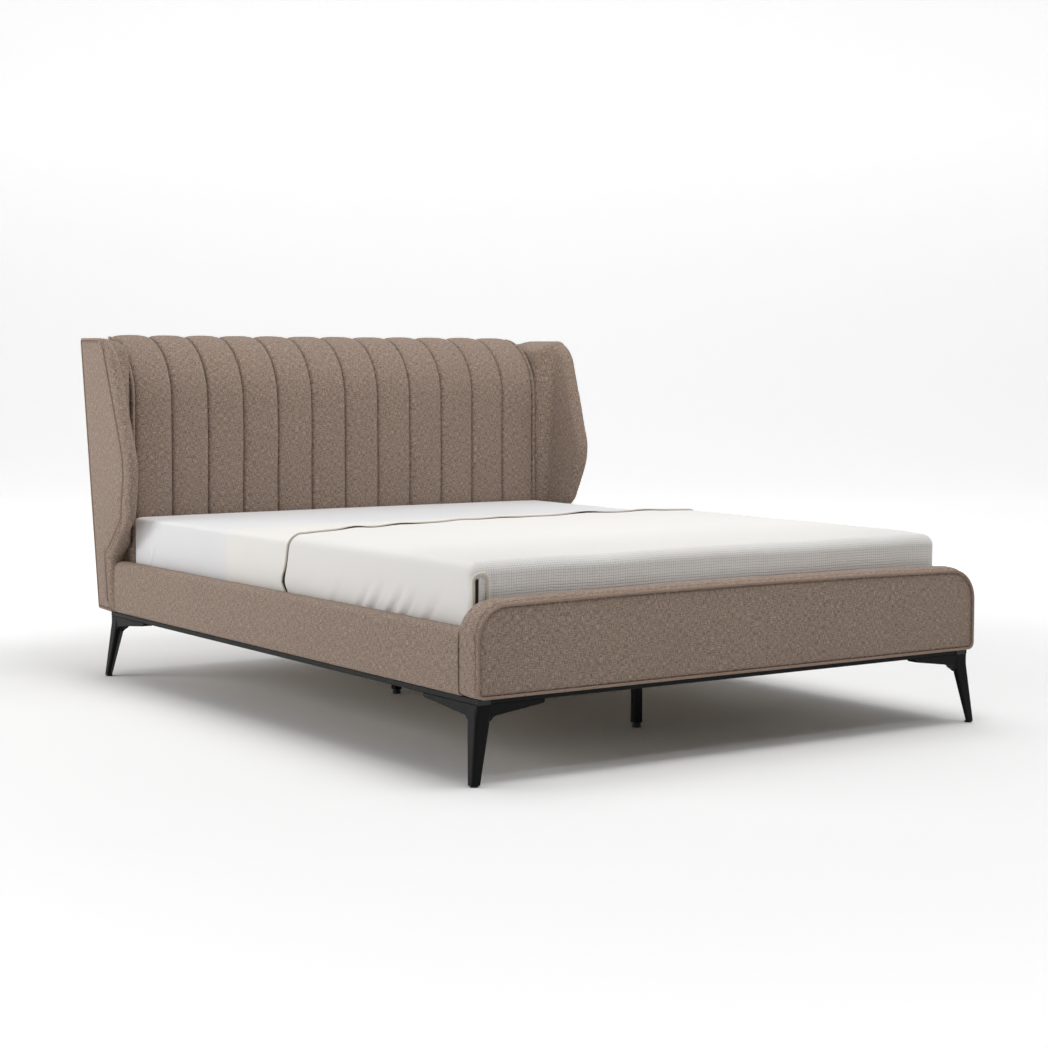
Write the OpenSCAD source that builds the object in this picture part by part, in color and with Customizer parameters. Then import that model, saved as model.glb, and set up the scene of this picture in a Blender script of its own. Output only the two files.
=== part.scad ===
// Upholstered bed with a channelled wing headboard, a low footboard and black cast legs.
// X runs across the bed, Y from the foot to the head, Z up. The origin lies on the floor
// under the middle of the bed. Sizes are in millimetres.

/* [Mattress] */
// Width of the mattress
mattress_w = 1560; // [1350:10:1800]
// Length of the mattress
mattress_len = 2000; // [1900:10:2100]
// Thickness of the mattress
mattress_h = 230; // [180:5:280]
// Radius of the mattress corners seen from above
mattress_corner_r = 40; // [25:5:60]
// Radius of the mattress edges
mattress_edge_r = 25; // [15:1:35]
// Distance from the mattress to the headboard cushion
mattress_head_gap = 3; // [3:1:20]

/* [Bedding] */
// Thickness of the fitted sheet
sheet_t = 2; // [1:0.5:3]
// Thickness of the cream blanket
blanket_t = 3; // [2:0.5:8]
// Thickness of the quilt
quilt_t = 7; // [5:1:13]
// Extra thickness of the quilt on top of the bed
quilt_loft = 12; // [0:1:20]
// Distance from the head end of the mattress to the blanket's edge
blanket_back = 587; // [450:1:800]
// Distance from the head end of the mattress to the quilt's edge
quilt_back = 993; // [900:1:1400]
// Depth of the bedding that hangs past the top of the mattress
tuck_depth = 190; // [120:5:200]
// Distance from the bedding to each side rail
bedding_side_gap = 3; // [1:1:40]
// Distance from the bedding to the footboard
bedding_foot_gap = 11; // [5:1:40]

/* [Frame] */
// Height of the legs under the steel frame
leg_h = 197; // [160:1:230]
// Height of the upholstered side rails
rail_h = 167; // [150:1:200]
// Thickness of the upholstered side rails
rail_t = 47; // [44:1:60]
// Length of the side rails past the face of the headboard
rail_tail = 38; // [30:1:42]
// Thickness of the timber boards in the rails
rail_board_t = 25; // [20:1:28]
// Thickness of the foam on the rails' outer side
rail_foam = 12; // [8:1:14]
// Thickness of the foam on top of the rails
rail_top_foam = 14; // [10:1:20]
// Depth of the upholstery that turns down the rails' inner side
rail_lip = 60; // [40:1:70]

/* [Steel base] */
// Width of the perimeter tubes
tube_w = 40; // [35:1:50]
// Height of the perimeter tubes
tube_h = 15; // [15:1:25]
// Wall of the steel tubes
tube_wall = 1.5; // [1:0.1:2.5]
// Distance from the upholstery's face to the perimeter tubes
tube_inset = 10; // [5:1:14]
// Distance from the front of the bed to the perimeter tubes
tube_front = 22; // [15:1:30]
// Distance from the back of the bed to the perimeter tubes
tube_back = 106; // [100:1:130]
// Width of the crossbars
crossbar_w = 40; // [30:1:60]
// Height of the crossbars
crossbar_h = 25; // [20:1:30]
// Width of the centre beam
beam_w = 30; // [30:1:50]
// Height of the centre beam
beam_h = 40; // [35:1:50]
// Distance from the front of the bed to the front crossbar's middle
crossbar_front_y = 478; // [400:1:600]
// Distance from the front of the bed to the rear crossbar's middle
crossbar_rear_y = 1378; // [1200:1:1500]
// Distance between the two rear support legs
support_spacing = 498; // [300:2:900]
// Side of the square support legs
support_w = 25; // [20:1:30]

/* [Cast legs] */
// Outward lean of each leg to the side, from the top to the floor
leg_lean_x = 32; // [0:1:45]
// Outward lean of each leg to the foot or the head, from the top to the floor
leg_lean_y = 25; // [0:1:30]
// Width of a leg at the top
leg_top_w = 44; // [36:1:50]
// Width of a leg at the floor
leg_foot_w = 24; // [18:1:28]
// Length of the arm under the end tube
arm_end_len = 200; // [150:1:240]
// Length of the arm under the side tube
arm_side_len = 247; // [180:1:280]
// Depth of an arm at its tip
arm_tip_h = 10; // [8:1:14]
// Depth of an arm at the leg
arm_root_h = 28; // [22:1:36]
// Width of an arm
arm_w = 32; // [26:1:36]
// Radius of the fillet between arm and leg
arm_fillet = 22; // [12:1:30]
// Radius of the bolts
bolt_r = 4; // [3:0.5:5]
// Radius of the bolt heads
bolt_head_r = 7; // [6:0.5:9]

/* [Slats] */
// Number of slats in each row
slat_count = 14; // [10:1:18]
// Width of a slat
slat_w = 68; // [50:1:80]
// Thickness of a slat
slat_t = 8; // [7:0.5:14]
// Side of the timber ledges on the rails
ledge_s = 30; // [25:1:40]
// Wall of the plastic slat holders
holder_wall = 3; // [2:0.5:4]
// Depth of the plastic slat holders
holder_d = 24; // [18:1:30]

/* [Footboard] */
// Thickness of the footboard
footboard_t = 95; // [80:1:120]
// Height of the footboard's front seam above the underside, at the ends
footboard_h = 230; // [210:1:260]
// Rise of the front seam towards the middle
footboard_crown = 9; // [0:1:15]
// Rise of the top cushion over the front seam
footboard_puff = 10; // [4:1:14]
// Radius of the footboard's top corners
footboard_corner_r = 88; // [50:1:110]
// Radius of the footboard's bottom corners
footboard_bottom_r = 20; // [10:1:30]
// Thickness of the timbers in the footboard
timber_t = 22; // [18:1:28]
// Thickness of the plywood sheets
ply_t = 9; // [6:1:12]
// Thickness of the footboard's foam
footboard_foam = 15; // [12:1:20]

/* [Headboard] */
// Depth of the headboard from its seams to its back
headboard_d = 185; // [170:1:230]
// Number of channels
channel_count = 12; // [8:1:16]
// Bulge of a channel over its seams
channel_crown = 10; // [4:0.5:14]
// Thickness of the channelled cushion at its seams
channel_t = 30; // [20:1:40]
// Radius of the roll at the top, at the seams
roll_r = 200; // [190:1:230]
// Rise of the headboard's roll over the wings' top
head_rise = 14; // [0:1:40]
// Width of the plain strip beside the outer channels
strip_w = 12; // [8:1:14]
// Gap between a plain strip and the wing beside it
strip_gap = 5.8; // [3:0.1:10]
// Thickness of the bent plywood skin
skin_t = 6; // [4:1:9]
// Glue line between the plywood skin and the cushion
glue_t = 0.4; // [0.3:0.1:0.8]
// Number of plywood ribs
rib_count = 9; // [8:1:12]
// Thickness of a rib
rib_t = 18; // [15:1:25]
// Thickness of the back cover
back_t = 4; // [3:1:8]
// Height of the timber rail at the headboard's foot
bottom_rail_h = 95; // [80:1:110]

/* [Wings] */
// Distance from the rails' outer face in to a wing's lower back corner
wing_set = 8; // [0:1:15]
// Outward lean of the wings
wing_lean = 3.3; // [0:0.1:6]
// Outward splay of the wings
wing_splay = 4.75; // [2:0.05:8]
// Angle between the wings' inner faces and the length of the bed
wing_flare = 14.3; // [8:0.1:18]
// Height of the wings
wing_h = 889; // [800:1:960]
// Reach of the wings at their top
wing_top_reach = 248; // [200:1:300]
// Reach of the wings at their widest corner
wing_reach = 387; // [340:1:430]
// Height of the widest corner above the underside
wing_reach_z = 494; // [420:1:560]
// Gap between a rail's end and the wing's upright edge behind it
wing_end_gap = 11; // [9:1:17]
// Height of the lower, upright edge
wing_low_h = 182; // [175:1:230]
// Reach of the slant between the upright edge and the widest corner
wing_slant_reach = 322; // [300:1:340]
// Height of the slant's upper end above the underside
wing_slant_z = 318; // [290:1:350]
// Radius of the top front corner
wing_top_r = 110; // [60:1:130]
// Radius of the widest corner
wing_front_r = 200; // [100:1:240]
// Thickness of the rolled front edge
wing_t = 60; // [50:1:70]
// Thickness of the wings' plywood
wing_board_t = 18; // [15:1:24]
// Thickness of the wings' outer panel, and of the piping round it
wing_panel_t = 5; // [4:0.5:7]

/* [Hidden] */

$fn = 64;
soft_fn = 32;
eps = 0.01;

fabric_colour = "#8b7768";
piping_colour = "#4a3c34";
steel_colour = "#1d1d1f";
timber_colour = "#d2b48c";
ply_colour = "#c8a878";
plastic_colour = "#2b2b2b";

bedding_t = sheet_t + blanket_t + quilt_t;

// Lengths along the bed, counted from its front
mattress_front_y = footboard_t + bedding_foot_gap + bedding_t;
mattress_back_y = mattress_front_y + mattress_len;
head_face_y = mattress_back_y + mattress_head_gap + channel_crown;
bed_len = head_face_y + headboard_d;
rail_end_y = head_face_y + rail_tail;
tube_back_y = bed_len - tube_back;

// Heights
underside = leg_h + tube_h;
rail_top = underside + rail_h;
deck_z = underside + crossbar_h + beam_h;
slat_z = deck_z + holder_wall;
holder_top = slat_z + slat_t + holder_wall;
mattress_top = holder_top + mattress_h;

// Widths from the middle
rail_in_x = mattress_w / 2 + bedding_t + bedding_side_gap;
rail_x = rail_in_x + rail_t;
board_out_x = rail_x - rail_foam;
board_in_x = board_out_x - rail_board_t;
tube_out_x = rail_x - tube_inset;
tube_in_x = tube_out_x - tube_w;
wing_x = rail_x - wing_set;
wing_in_x = rail_in_x - 2;
panel_x = wing_in_x - strip_gap - strip_w;
channel_w = 2 * panel_x / channel_count;
ledge_in_x = board_in_x - ledge_s;

// Places in the headboard
roll_y = head_face_y + roll_r;
roll_z = underside + wing_h + head_rise - roll_r;
skin_r = roll_r - channel_t;
rib_r = skin_r - skin_t;
rib_front_y = roll_y - rib_r;
back_y = bed_len - back_t;
channel_bottom = underside + bottom_rail_h;

tube_corner_r = 3;
bolt_gap = 0.2;
bolt_len = 22;
bolt_head_h = 5;
glide_h = 4;
glide_r = 11;
foot_h = 14;
foot_plug_h = 20;
bracket_l = 60;
bracket_t = 3;
bracket_h = 70;
bracket_hole_at = 0.6 * bracket_l;
leg_corner_r = 9;
leg_edge_r = 4;
leg_cut = 0.4;

// Everything is drawn with Y counted from the front, then moved so that the origin is central
module place() {
    translate([0, -bed_len / 2, 0])
        children();
}

module on_side(side) {
    mirror([side < 0 ? 1 : 0, 0, 0])
        children();
}

// Box given by its lowest and highest corners
module block(low, high) {
    translate(low)
        cube(high - low);
}

function unit(v) = v / norm(v);

// Distance from a corner to where a fillet of radius r touches its two edges
function tangent_len(a, p, b, r) =
    let (c = unit(a - p) * unit(b - p))
    r / tan(acos(c) / 2);

function around(points, i) =
    let (n = len(points))
    [points[(i + n - 1) % n], points[i], points[(i + 1) % n]];

function fillet_centre(a, p, b, r) =
    let (half = acos(unit(a - p) * unit(b - p)) / 2)
    p + unit(unit(a - p) + unit(b - p)) * r / sin(half);

// Convex outline with a true arc at each corner
module rounded_outline(points, radii) {
    difference() {
        polygon(points);
        for (i = [0:len(points) - 1])
            if (radii[i] > 0)
                corner_waste(around(points, i), radii[i]);
    }
}

// What lies between a corner and its arc
module corner_waste(corner, r) {
    a = corner[0];
    p = corner[1];
    b = corner[2];
    t = tangent_len(a, p, b, r);
    c = fillet_centre(a, p, b, r);
    difference() {
        polygon([c, p + unit(a - p) * t, p + (p - c) * 0.1, p + unit(b - p) * t]);
        translate(c)
            circle(r, $fn = r > 60 ? 180 : $fn);
    }
}

// Corners of an anticlockwise outline, moved in by a given amount
function inset(points, d) =
    [for (i = [0:len(points) - 1])
        let (c = around(points, i), u = unit(c[1] - c[0]), v = unit(c[2] - c[1]),
            n = [-u[1] - v[1], u[0] + v[0]])
        c[1] + n * d / (1 + u * v)];

// Points of an outline with rounded corners; the radius of an inward corner is negative
function arc_points(corner, r, steps) =
    let (a = corner[0], p = corner[1], b = corner[2],
        t = tangent_len(a, p, b, r), c = fillet_centre(a, p, b, r),
        from = p + unit(a - p) * t - c, to = p + unit(b - p) * t - c,
        a0 = atan2(from[1], from[0]), turn = atan2(to[1], to[0]) - a0,
        sweep = turn > 180 ? turn - 360 : turn < -180 ? turn + 360 : turn)
    [for (k = [0:steps]) c + r * [cos(a0 + sweep * k / steps), sin(a0 + sweep * k / steps)]];

function rounded_points(points, radii, steps) =
    [for (i = [0:len(points) - 1])
        each arc_points(around(points, i), abs(radii[i]), steps)];

// The same outline moved in by a given amount
function inset_points(points, radii, d, steps) =
    rounded_points(inset(points, d), [for (r = radii) r < 0 ? r - d : max(2, r - d)], steps);

// Closed skin through slices that all have the same number of points
module loft(slices) {
    n = len(slices[0]);
    last = len(slices) - 1;
    polyhedron([for (s = slices) each s], concat(
        [[for (i = [0:n - 1]) i]],
        [for (j = [0:last - 1], i = [0:n - 1])
            [j * n + i, (j + 1) * n + i, j * n + (i + 1) % n]],
        [for (j = [0:last - 1], i = [0:n - 1])
            [j * n + (i + 1) % n, (j + 1) * n + i, (j + 1) * n + (i + 1) % n]],
        [[for (i = [n - 1:-1:0]) last * n + i]]));
}

// Edging of square section that runs just inside a rounded outline
module edging(points, radii, width) {
    linear_extrude(width)
        difference() {
            rounded_outline(points, radii);
            rounded_outline(inset(points, width), [for (r = radii) r - width]);
        }
}

// Turns a shape drawn on the X-Y plane to stand on the Y-Z plane, extruded along X
module along_x() {
    rotate([90, 0, 90])
        children();
}

// Turns a shape drawn on the X-Y plane to stand on the X-Z plane, extruded along Y
module along_y(length) {
    translate([0, length, 0])
        rotate([90, 0, 0])
            children();
}

module rect_outline(low, high, radii) {
    rounded_outline([low, [high[0], low[1]], high, [low[0], high[1]]], radii);
}

// Section of a rectangular steel tube with its lower left corner at the origin
module tube_section(w, h) {
    r = tube_corner_r;
    difference() {
        rect_outline([0, 0], [w, h], [r, r, r, r]);
        rect_outline([tube_wall, tube_wall], [w - tube_wall, h - tube_wall],
            [r / 2, r / 2, r / 2, r / 2]);
    }
}

// Steel base

module bolt_holes(r, from_z, to_z) {
    for (p = bolt_places)
        translate([p[0], p[1], from_z])
            cylinder(h = to_z - from_z, r = r);
}

// The leg corner is the outer corner of the tube frame
leg_corners = [[-1, tube_front, 1], [1, tube_front, 1], [-1, tube_back_y, -1],
    [1, tube_back_y, -1]];

// Bolts of one leg, counted from that corner: two along each arm, at these shares of its length
inner_bolt = 0.42;
outer_bolt = 0.78;
arm_bolts = [[inner_bolt * arm_end_len, tube_w / 2], [outer_bolt * arm_end_len, tube_w / 2],
    [tube_w / 2, inner_bolt * arm_side_len], [tube_w / 2, outer_bolt * arm_side_len]];
bolt_places = [for (c = leg_corners, q = arm_bolts)
    [c[0] * (tube_out_x - q[0]), c[1] + c[2] * q[1]]];

module side_tube(side) color(steel_colour) place()
    difference() {
        on_side(side)
            translate([tube_in_x, tube_front, leg_h])
                along_y(tube_back_y - tube_front)
                    linear_extrude(tube_back_y - tube_front)
                        tube_section(tube_w, tube_h);
        bolt_holes(bolt_r + bolt_gap, leg_h - 1, leg_h + tube_wall + 1);
    }

module end_tube(y) color(steel_colour) place()
    difference() {
        translate([-tube_in_x, y, leg_h])
            along_x()
                linear_extrude(2 * tube_in_x)
                    tube_section(tube_w, tube_h);
        bolt_holes(bolt_r + bolt_gap, leg_h - 1, leg_h + tube_wall + 1);
    }

module side_tube_left() side_tube(-1);
module side_tube_right() side_tube(1);
module foot_tube() end_tube(tube_front);
module head_tube() end_tube(tube_back_y - tube_w);

// Plastic plugs that close the side tubes' ends, one at each leg's corner
cap_t = 2;
cap_plug_l = 12;
cap_play = 0.6;

module tube_caps() color(plastic_colour) place()
    for (i = [0:3])
        at_leg(i) {
            set = tube_wall + cap_play;
            translate([0, -cap_t, leg_h])
                along_y(cap_t)
                    linear_extrude(cap_t)
                        rect_outline([0, 0], [tube_w, tube_h],
                            [tube_corner_r, tube_corner_r, tube_corner_r, tube_corner_r]);
            block([set, -cap_t / 2, leg_h + set],
                [tube_w - set, cap_plug_l, underside - set]);
        }

crossbar_gap = 1;

module crossbar(y) color(steel_colour) place()
    translate([crossbar_gap - board_in_x, y - crossbar_w / 2, underside])
        along_x()
            linear_extrude(2 * (board_in_x - crossbar_gap))
                tube_section(crossbar_w, crossbar_h);

module crossbar_front() crossbar(crossbar_front_y);
module crossbar_rear() crossbar(crossbar_rear_y);

module centre_beam() color(steel_colour) place()
    translate([-beam_w / 2, footboard_t, underside + crossbar_h])
        along_y(head_face_y - footboard_t)
            linear_extrude(head_face_y - footboard_t)
                tube_section(beam_w, beam_h);

module support_leg(x, y) color(steel_colour) place()
    translate([x - support_w / 2, y - support_w / 2, foot_h])
        linear_extrude(underside - foot_h)
            tube_section(support_w, support_w);

module support_leg_front() support_leg(0, crossbar_front_y);
module support_leg_rear_left() support_leg(-support_spacing / 2, crossbar_rear_y);
module support_leg_rear_right() support_leg(support_spacing / 2, crossbar_rear_y);

// Plastic foot: a tapered pad under the tube and a plug inside it
module support_foot(x, y) {
    plug = support_w - 2 * tube_wall - 1;
    translate([x, y, 0]) {
        cylinder(h = foot_h, r1 = support_w / 2 + 1, r2 = support_w / 2 - 1);
        translate([-plug / 2, -plug / 2, foot_h - 1])
            cube([plug, plug, foot_plug_h]);
    }
}

module support_feet() color(plastic_colour) place() {
    support_foot(0, crossbar_front_y);
    support_foot(-support_spacing / 2, crossbar_rear_y);
    support_foot(support_spacing / 2, crossbar_rear_y);
}

// Arm outline: u runs from the frame's outer corner along the tube, v upwards from the floor
module arm_outline(length) {
    root = leg_top_w + arm_fillet * 0.8;
    chamfer = arm_tip_h * 0.4;
    difference() {
        polygon([[0, leg_h], [length, leg_h], [length, leg_h - arm_tip_h + chamfer],
            [length - chamfer, leg_h - arm_tip_h], [root, leg_h - arm_root_h],
            [leg_top_w / 2, leg_h - arm_root_h - arm_fillet], [0, leg_h - arm_root_h]]);
        translate([root, leg_h - arm_root_h - arm_fillet])
            circle(arm_fillet);
    }
}

// Section of a leg: a square whose outer corner is rounded and whose inner corner is cut off
module leg_section(w) {
    rounded_outline([[0, 0], [w, 0], [w, leg_cut * w], [leg_cut * w, w], [0, w]],
        [leg_corner_r, leg_edge_r, leg_edge_r, leg_edge_r, leg_edge_r]);
}

// Middle of the foot, counted from the top's outer corner
foot_x = leg_top_w / 2 - leg_lean_x;
foot_y = leg_top_w / 2 - leg_lean_y;

// One casting in the corner at the origin, with its arms along +X and +Y
module leg_casting() {
    difference() {
        union() {
            hull() {
                translate([0, 0, leg_h - arm_root_h / 2])
                    linear_extrude(arm_root_h / 2)
                        leg_section(leg_top_w, $fn = soft_fn);
                translate([foot_x - leg_foot_w / 2, foot_y - leg_foot_w / 2, glide_h])
                    linear_extrude(1)
                        leg_section(leg_foot_w, $fn = soft_fn);
            }
            translate([0, arm_w, 0])
                rotate([90, 0, 0])
                    linear_extrude(arm_w)
                        arm_outline(arm_end_len);
            along_x()
                linear_extrude(arm_w)
                    arm_outline(arm_side_len);
        }
        for (q = arm_bolts)
            translate([q[0], q[1], 0]) {
                cylinder(h = leg_h + 1, r = bolt_r + bolt_gap);
                cylinder(h = leg_h - arm_tip_h / 2, r = bolt_head_r + 1);
            }
    }
}

// Puts a shape drawn in the corner at the origin, along +X and +Y, at one leg's corner
module at_leg(i) {
    c = leg_corners[i];
    translate([c[0] * tube_out_x, c[1], 0])
        mirror([c[0] > 0 ? 1 : 0, 0, 0])
            mirror([0, c[2] < 0 ? 1 : 0, 0])
                children();
}

module cast_leg(i) color(steel_colour) place()
    at_leg(i)
        leg_casting();

module leg_front_left() cast_leg(0);
module leg_front_right() cast_leg(1);
module leg_rear_left() cast_leg(2);
module leg_rear_right() cast_leg(3);

module leg_glides() color(plastic_colour) place()
    for (c = leg_corners)
        translate([c[0] * (tube_out_x - foot_x), c[1] + c[2] * foot_y, 0])
            cylinder(h = glide_h, r1 = glide_r - 1, r2 = glide_r);

module leg_bolts() color(steel_colour) place()
    for (p = bolt_places)
        translate([p[0], p[1], leg_h - arm_tip_h / 2 - bolt_head_h]) {
            cylinder(h = bolt_head_h, r = bolt_head_r);
            cylinder(h = bolt_len, r = bolt_r);
        }

// Side rails

rail_bottom_r = 5;
rail_edge_r = 12;
rail_end_top_r = 32;
rail_end_bottom_r = 12;
board_end_gap = 14;

module rail_board(side) color(timber_colour) place() on_side(side)
    block([board_in_x, footboard_t, underside],
        [board_out_x, rail_end_y - board_end_gap, rail_top - rail_top_foam]);

module rail_board_left() rail_board(-1);
module rail_board_right() rail_board(1);

module rail_pad(side) color(fabric_colour) place() on_side(side)
    difference() {
        intersection() {
            translate([0, footboard_t, 0])
                along_y(rail_end_y - footboard_t)
                    linear_extrude(rail_end_y - footboard_t)
                        rect_outline([rail_in_x, underside], [rail_x, rail_top],
                            [0, rail_bottom_r, rail_edge_r, rail_edge_r]);
            translate([rail_in_x, 0, 0])
                along_x()
                    linear_extrude(rail_t)
                        rect_outline([footboard_t, underside], [rail_end_y, rail_top],
                            [0, rail_end_bottom_r, rail_end_top_r, 0]);
        }
        block([board_in_x, footboard_t - 1, underside - 1],
            [board_out_x, rail_end_y - board_end_gap, rail_top - rail_top_foam]);
        block([rail_in_x - 1, footboard_t - 1, underside - 1],
            [board_in_x + eps, rail_end_y + 1, rail_top - rail_lip]);
    }

module rail_pad_left() rail_pad(-1);
module rail_pad_right() rail_pad(1);

ledge_end_gap = 6;
ledge_front_y = footboard_t + bracket_l + ledge_end_gap;
ledge_back_y = head_face_y - bracket_l - ledge_end_gap;

module slat_ledge(side) color(timber_colour) place() on_side(side)
    block([ledge_in_x, ledge_front_y, deck_z - ledge_s], [board_in_x, ledge_back_y, deck_z]);

module slat_ledge_left() slat_ledge(-1);
module slat_ledge_right() slat_ledge(1);

// Steel angle in an inside corner; the corner is at the origin, legs along -X and +Y
bracket_z = underside + 4;
bracket_holes = [bracket_z + bracket_h * 0.25, bracket_z + bracket_h * 0.75];

module bracket() {
    difference() {
        union() {
            block([-bracket_l, 0, bracket_z], [0, bracket_t, bracket_z + bracket_h]);
            block([-bracket_t, 0, bracket_z], [0, bracket_l, bracket_z + bracket_h]);
        }
        for (z = bracket_holes) {
            translate([-bracket_hole_at, -1, z])
                rotate([-90, 0, 0])
                    cylinder(h = bracket_t + 2, r = bolt_r + bolt_gap);
            translate([1, bracket_hole_at, z])
                rotate([0, -90, 0])
                    cylinder(h = bracket_t + 2, r = bolt_r + bolt_gap);
        }
    }
}

module at_corners() {
    for (side = [-1, 1])
        on_side(side) {
            translate([board_in_x, footboard_t, 0])
                children();
            translate([board_in_x, head_face_y, 0])
                mirror([0, 1, 0])
                    children();
        }
}

module corner_brackets() color(steel_colour) place()
    at_corners()
        bracket();

module bracket_bolts() color(steel_colour) place()
    at_corners()
        for (z = bracket_holes) {
            translate([-bracket_hole_at, bracket_t, z])
                rotate([-90, 0, 0])
                    cylinder(h = bolt_head_h, r = bolt_head_r);
            translate([-bracket_t, bracket_hole_at, z])
                rotate([0, -90, 0])
                    cylinder(h = bolt_head_h, r = bolt_head_r);
        }

// Footboard

piping_d = 6;
post_gaps = 8;

// Radius that eases the bends of the arched top, and points on each arc of a soft form
bend_r = 6000;
soft_steps = 6;

// The arch at a quarter of the footboard's width, as a share of the arch in its middle
arch_share = 0.75;

// Corners of the front outline
footboard_corners = [[-rail_x, underside], [rail_x, underside],
    [rail_x, underside + footboard_h],
    [rail_x / 2, underside + footboard_h + footboard_crown * arch_share],
    [0, underside + footboard_h + footboard_crown],
    [-rail_x / 2, underside + footboard_h + footboard_crown * arch_share],
    [-rail_x, underside + footboard_h]];
footboard_radii = [footboard_bottom_r, footboard_bottom_r, footboard_corner_r, bend_r, bend_r,
    bend_r, footboard_corner_r];

// Slices of the pad: place along its depth, growth on all sides, share of the top's bulge
pad_slices = [[0, -1, 0], [0.04, 0, 0.3], [0.12, 1.5, 0.65], [0.25, 2, 0.92], [0.42, 2, 1],
    [0.62, 2, 0.95], [0.8, 1, 0.6], [0.92, -2, 0.1], [1, -7, -0.5]];

// Outline at one place of the pad; it stays flat at the underside
function pad_slice(y, out, up) =
    [for (p = inset_points(footboard_corners, footboard_radii, -out, soft_steps))
        let (rise = (p[1] - underside) / footboard_h)
        [p[0], y, max(underside, p[1] + rise * up)]];

module footboard_pad() color(fabric_colour) place()
    difference() {
        loft([for (s = pad_slices)
            pad_slice(piping_d + s[0] * (footboard_t - piping_d), s[1], s[2] * footboard_puff)]);
        block([-core_x, 0, core_bottom], [core_x, core_back_y, core_top]);
    }

// The footboard's timber core, inside the pad
core_side_foam = 8;
core_bottom_foam = 12;
core_x = rail_x - footboard_bottom_r - core_side_foam;
core_bottom = underside + core_bottom_foam;
core_back_y = footboard_t - footboard_foam;
core_top = underside + footboard_h - footboard_corner_r * 0.3 - footboard_foam;

module footboard_timbers() color(timber_colour) place() {
    low_y = piping_d + ply_t;
    high_y = core_back_y - ply_t;
    block([-core_x, low_y, core_bottom], [core_x, high_y, core_bottom + timber_t]);
    block([-core_x, low_y, core_top - timber_t], [core_x, high_y, core_top]);
    for (i = [0:post_gaps])
        translate([-core_x + i * (2 * core_x - timber_t) / post_gaps, 0, 0])
            block([0, low_y, core_bottom + timber_t], [timber_t, high_y, core_top - timber_t]);
}

module footboard_ply() color(ply_colour) place() {
    block([-core_x, piping_d, core_bottom], [core_x, piping_d + ply_t, core_top]);
    block([-core_x, core_back_y - ply_t, core_bottom], [core_x, core_back_y, core_top]);
}

module footboard_panel() color(fabric_colour) place()
    along_y(piping_d)
        linear_extrude(piping_d)
            rounded_outline(inset(footboard_corners, piping_d),
                [for (r = footboard_radii) r - piping_d]);

module footboard_piping() color(piping_colour) place()
    along_y(piping_d)
        edging(footboard_corners, footboard_radii, piping_d);

// Headboard

// Section of the channelled cushion: X is the distance from the roll's axis, Y runs across the bed
module channel_section() {
    lobe_r = (pow(channel_w / 2, 2) + pow(channel_crown, 2)) / (2 * channel_crown);
    lobe_x = roll_r + channel_crown - lobe_r;
    translate([skin_r + glue_t, -panel_x - strip_w])
        square([channel_t - glue_t - 2, 2 * (panel_x + strip_w)]);
    for (x = [-panel_x - strip_w, panel_x])
        translate([skin_r - side_return, x])
            square([side_return + 1, strip_w]);
    for (i = [0:channel_count - 1])
        intersection() {
            translate([skin_r + glue_t, -panel_x + i * channel_w])
                square([channel_t + channel_crown + 1, channel_w]);
            translate([lobe_x, -panel_x + (i + 0.5) * channel_w])
                circle(lobe_r, $fn = 360);
        }
}

module skin_section() {
    translate([rib_r, -panel_x])
        square([skin_t, 2 * panel_x]);
}

// Carries a section up the face and over the roll, and cuts it off at the back cover
module over_the_roll(bottom) {
    difference() {
        union() {
            translate([0, roll_y, bottom])
                linear_extrude(roll_z - bottom)
                    rotate(-90)
                        children();
            translate([0, roll_y, roll_z])
                along_x()
                    rotate(90)
                        rotate_extrude(angle = 90, $fn = 180)
                            children();
        }
        block([-panel_x - strip_w - 1, back_y, 0],
            [panel_x + strip_w + 1, roll_y + 1, roll_z + 2 * roll_r]);
    }
}

module headboard_channels() color(fabric_colour) place()
    over_the_roll(channel_bottom)
        channel_section();

module headboard_skin() color(ply_colour) place()
    over_the_roll(channel_bottom)
        skin_section();

module headboard_ribs() color(ply_colour) place()
    for (i = [0:rib_count - 1])
        translate([-panel_x + i * (2 * panel_x - rib_t) / (rib_count - 1), 0, 0])
            along_x()
                linear_extrude(rib_t)
                    union() {
                        translate([rib_front_y, underside])
                            square([back_y - rib_front_y, roll_z - underside]);
                        intersection() {
                            translate([roll_y, roll_z])
                                circle(rib_r, $fn = 180);
                            translate([rib_front_y, roll_z - 1])
                                square([back_y - rib_front_y, rib_r + 2]);
                        }
                    }

module headboard_bottom_rail() color(timber_colour) place()
    block([-panel_x, head_face_y, underside], [panel_x, rib_front_y, channel_bottom]);

module headboard_back() color(fabric_colour) place()
    block([-wing_in_x, back_y, underside], [wing_in_x, bed_len, roll_z + roll_r - back_t]);

// Distances from the headboard's ribs to the spacer's long edges and to its ends. The side
// strips of the cushion turn back as far as the spacer.
spacer_edge = 20;
spacer_end = 60;
side_return = skin_t + spacer_edge - 1;

module wing_spacers() color(timber_colour) place()
    for (side = [-1, 1])
        on_side(side)
            block([panel_x, rib_front_y + spacer_edge, underside + spacer_end],
                [wing_in_x, back_y - spacer_edge, roll_z - spacer_end]);

// Wings: the outline has X as the reach from the back edge and Y as the height

wing_low_reach = headboard_d - rail_tail - wing_end_gap;
wing_outline = [[0, 0], [wing_low_reach, 0], [wing_low_reach, wing_low_h],
    [wing_slant_reach, wing_slant_z], [wing_reach, wing_reach_z], [wing_top_reach, wing_h],
    [0, wing_h]];
wing_radii = [8, 8, -40, 90, wing_front_r, wing_top_r, 14];
board_set = 14;
arc_steps = 12;

module wing_shape(d) {
    polygon(inset_points(wing_outline, wing_radii, d, arc_steps));
}

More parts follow.
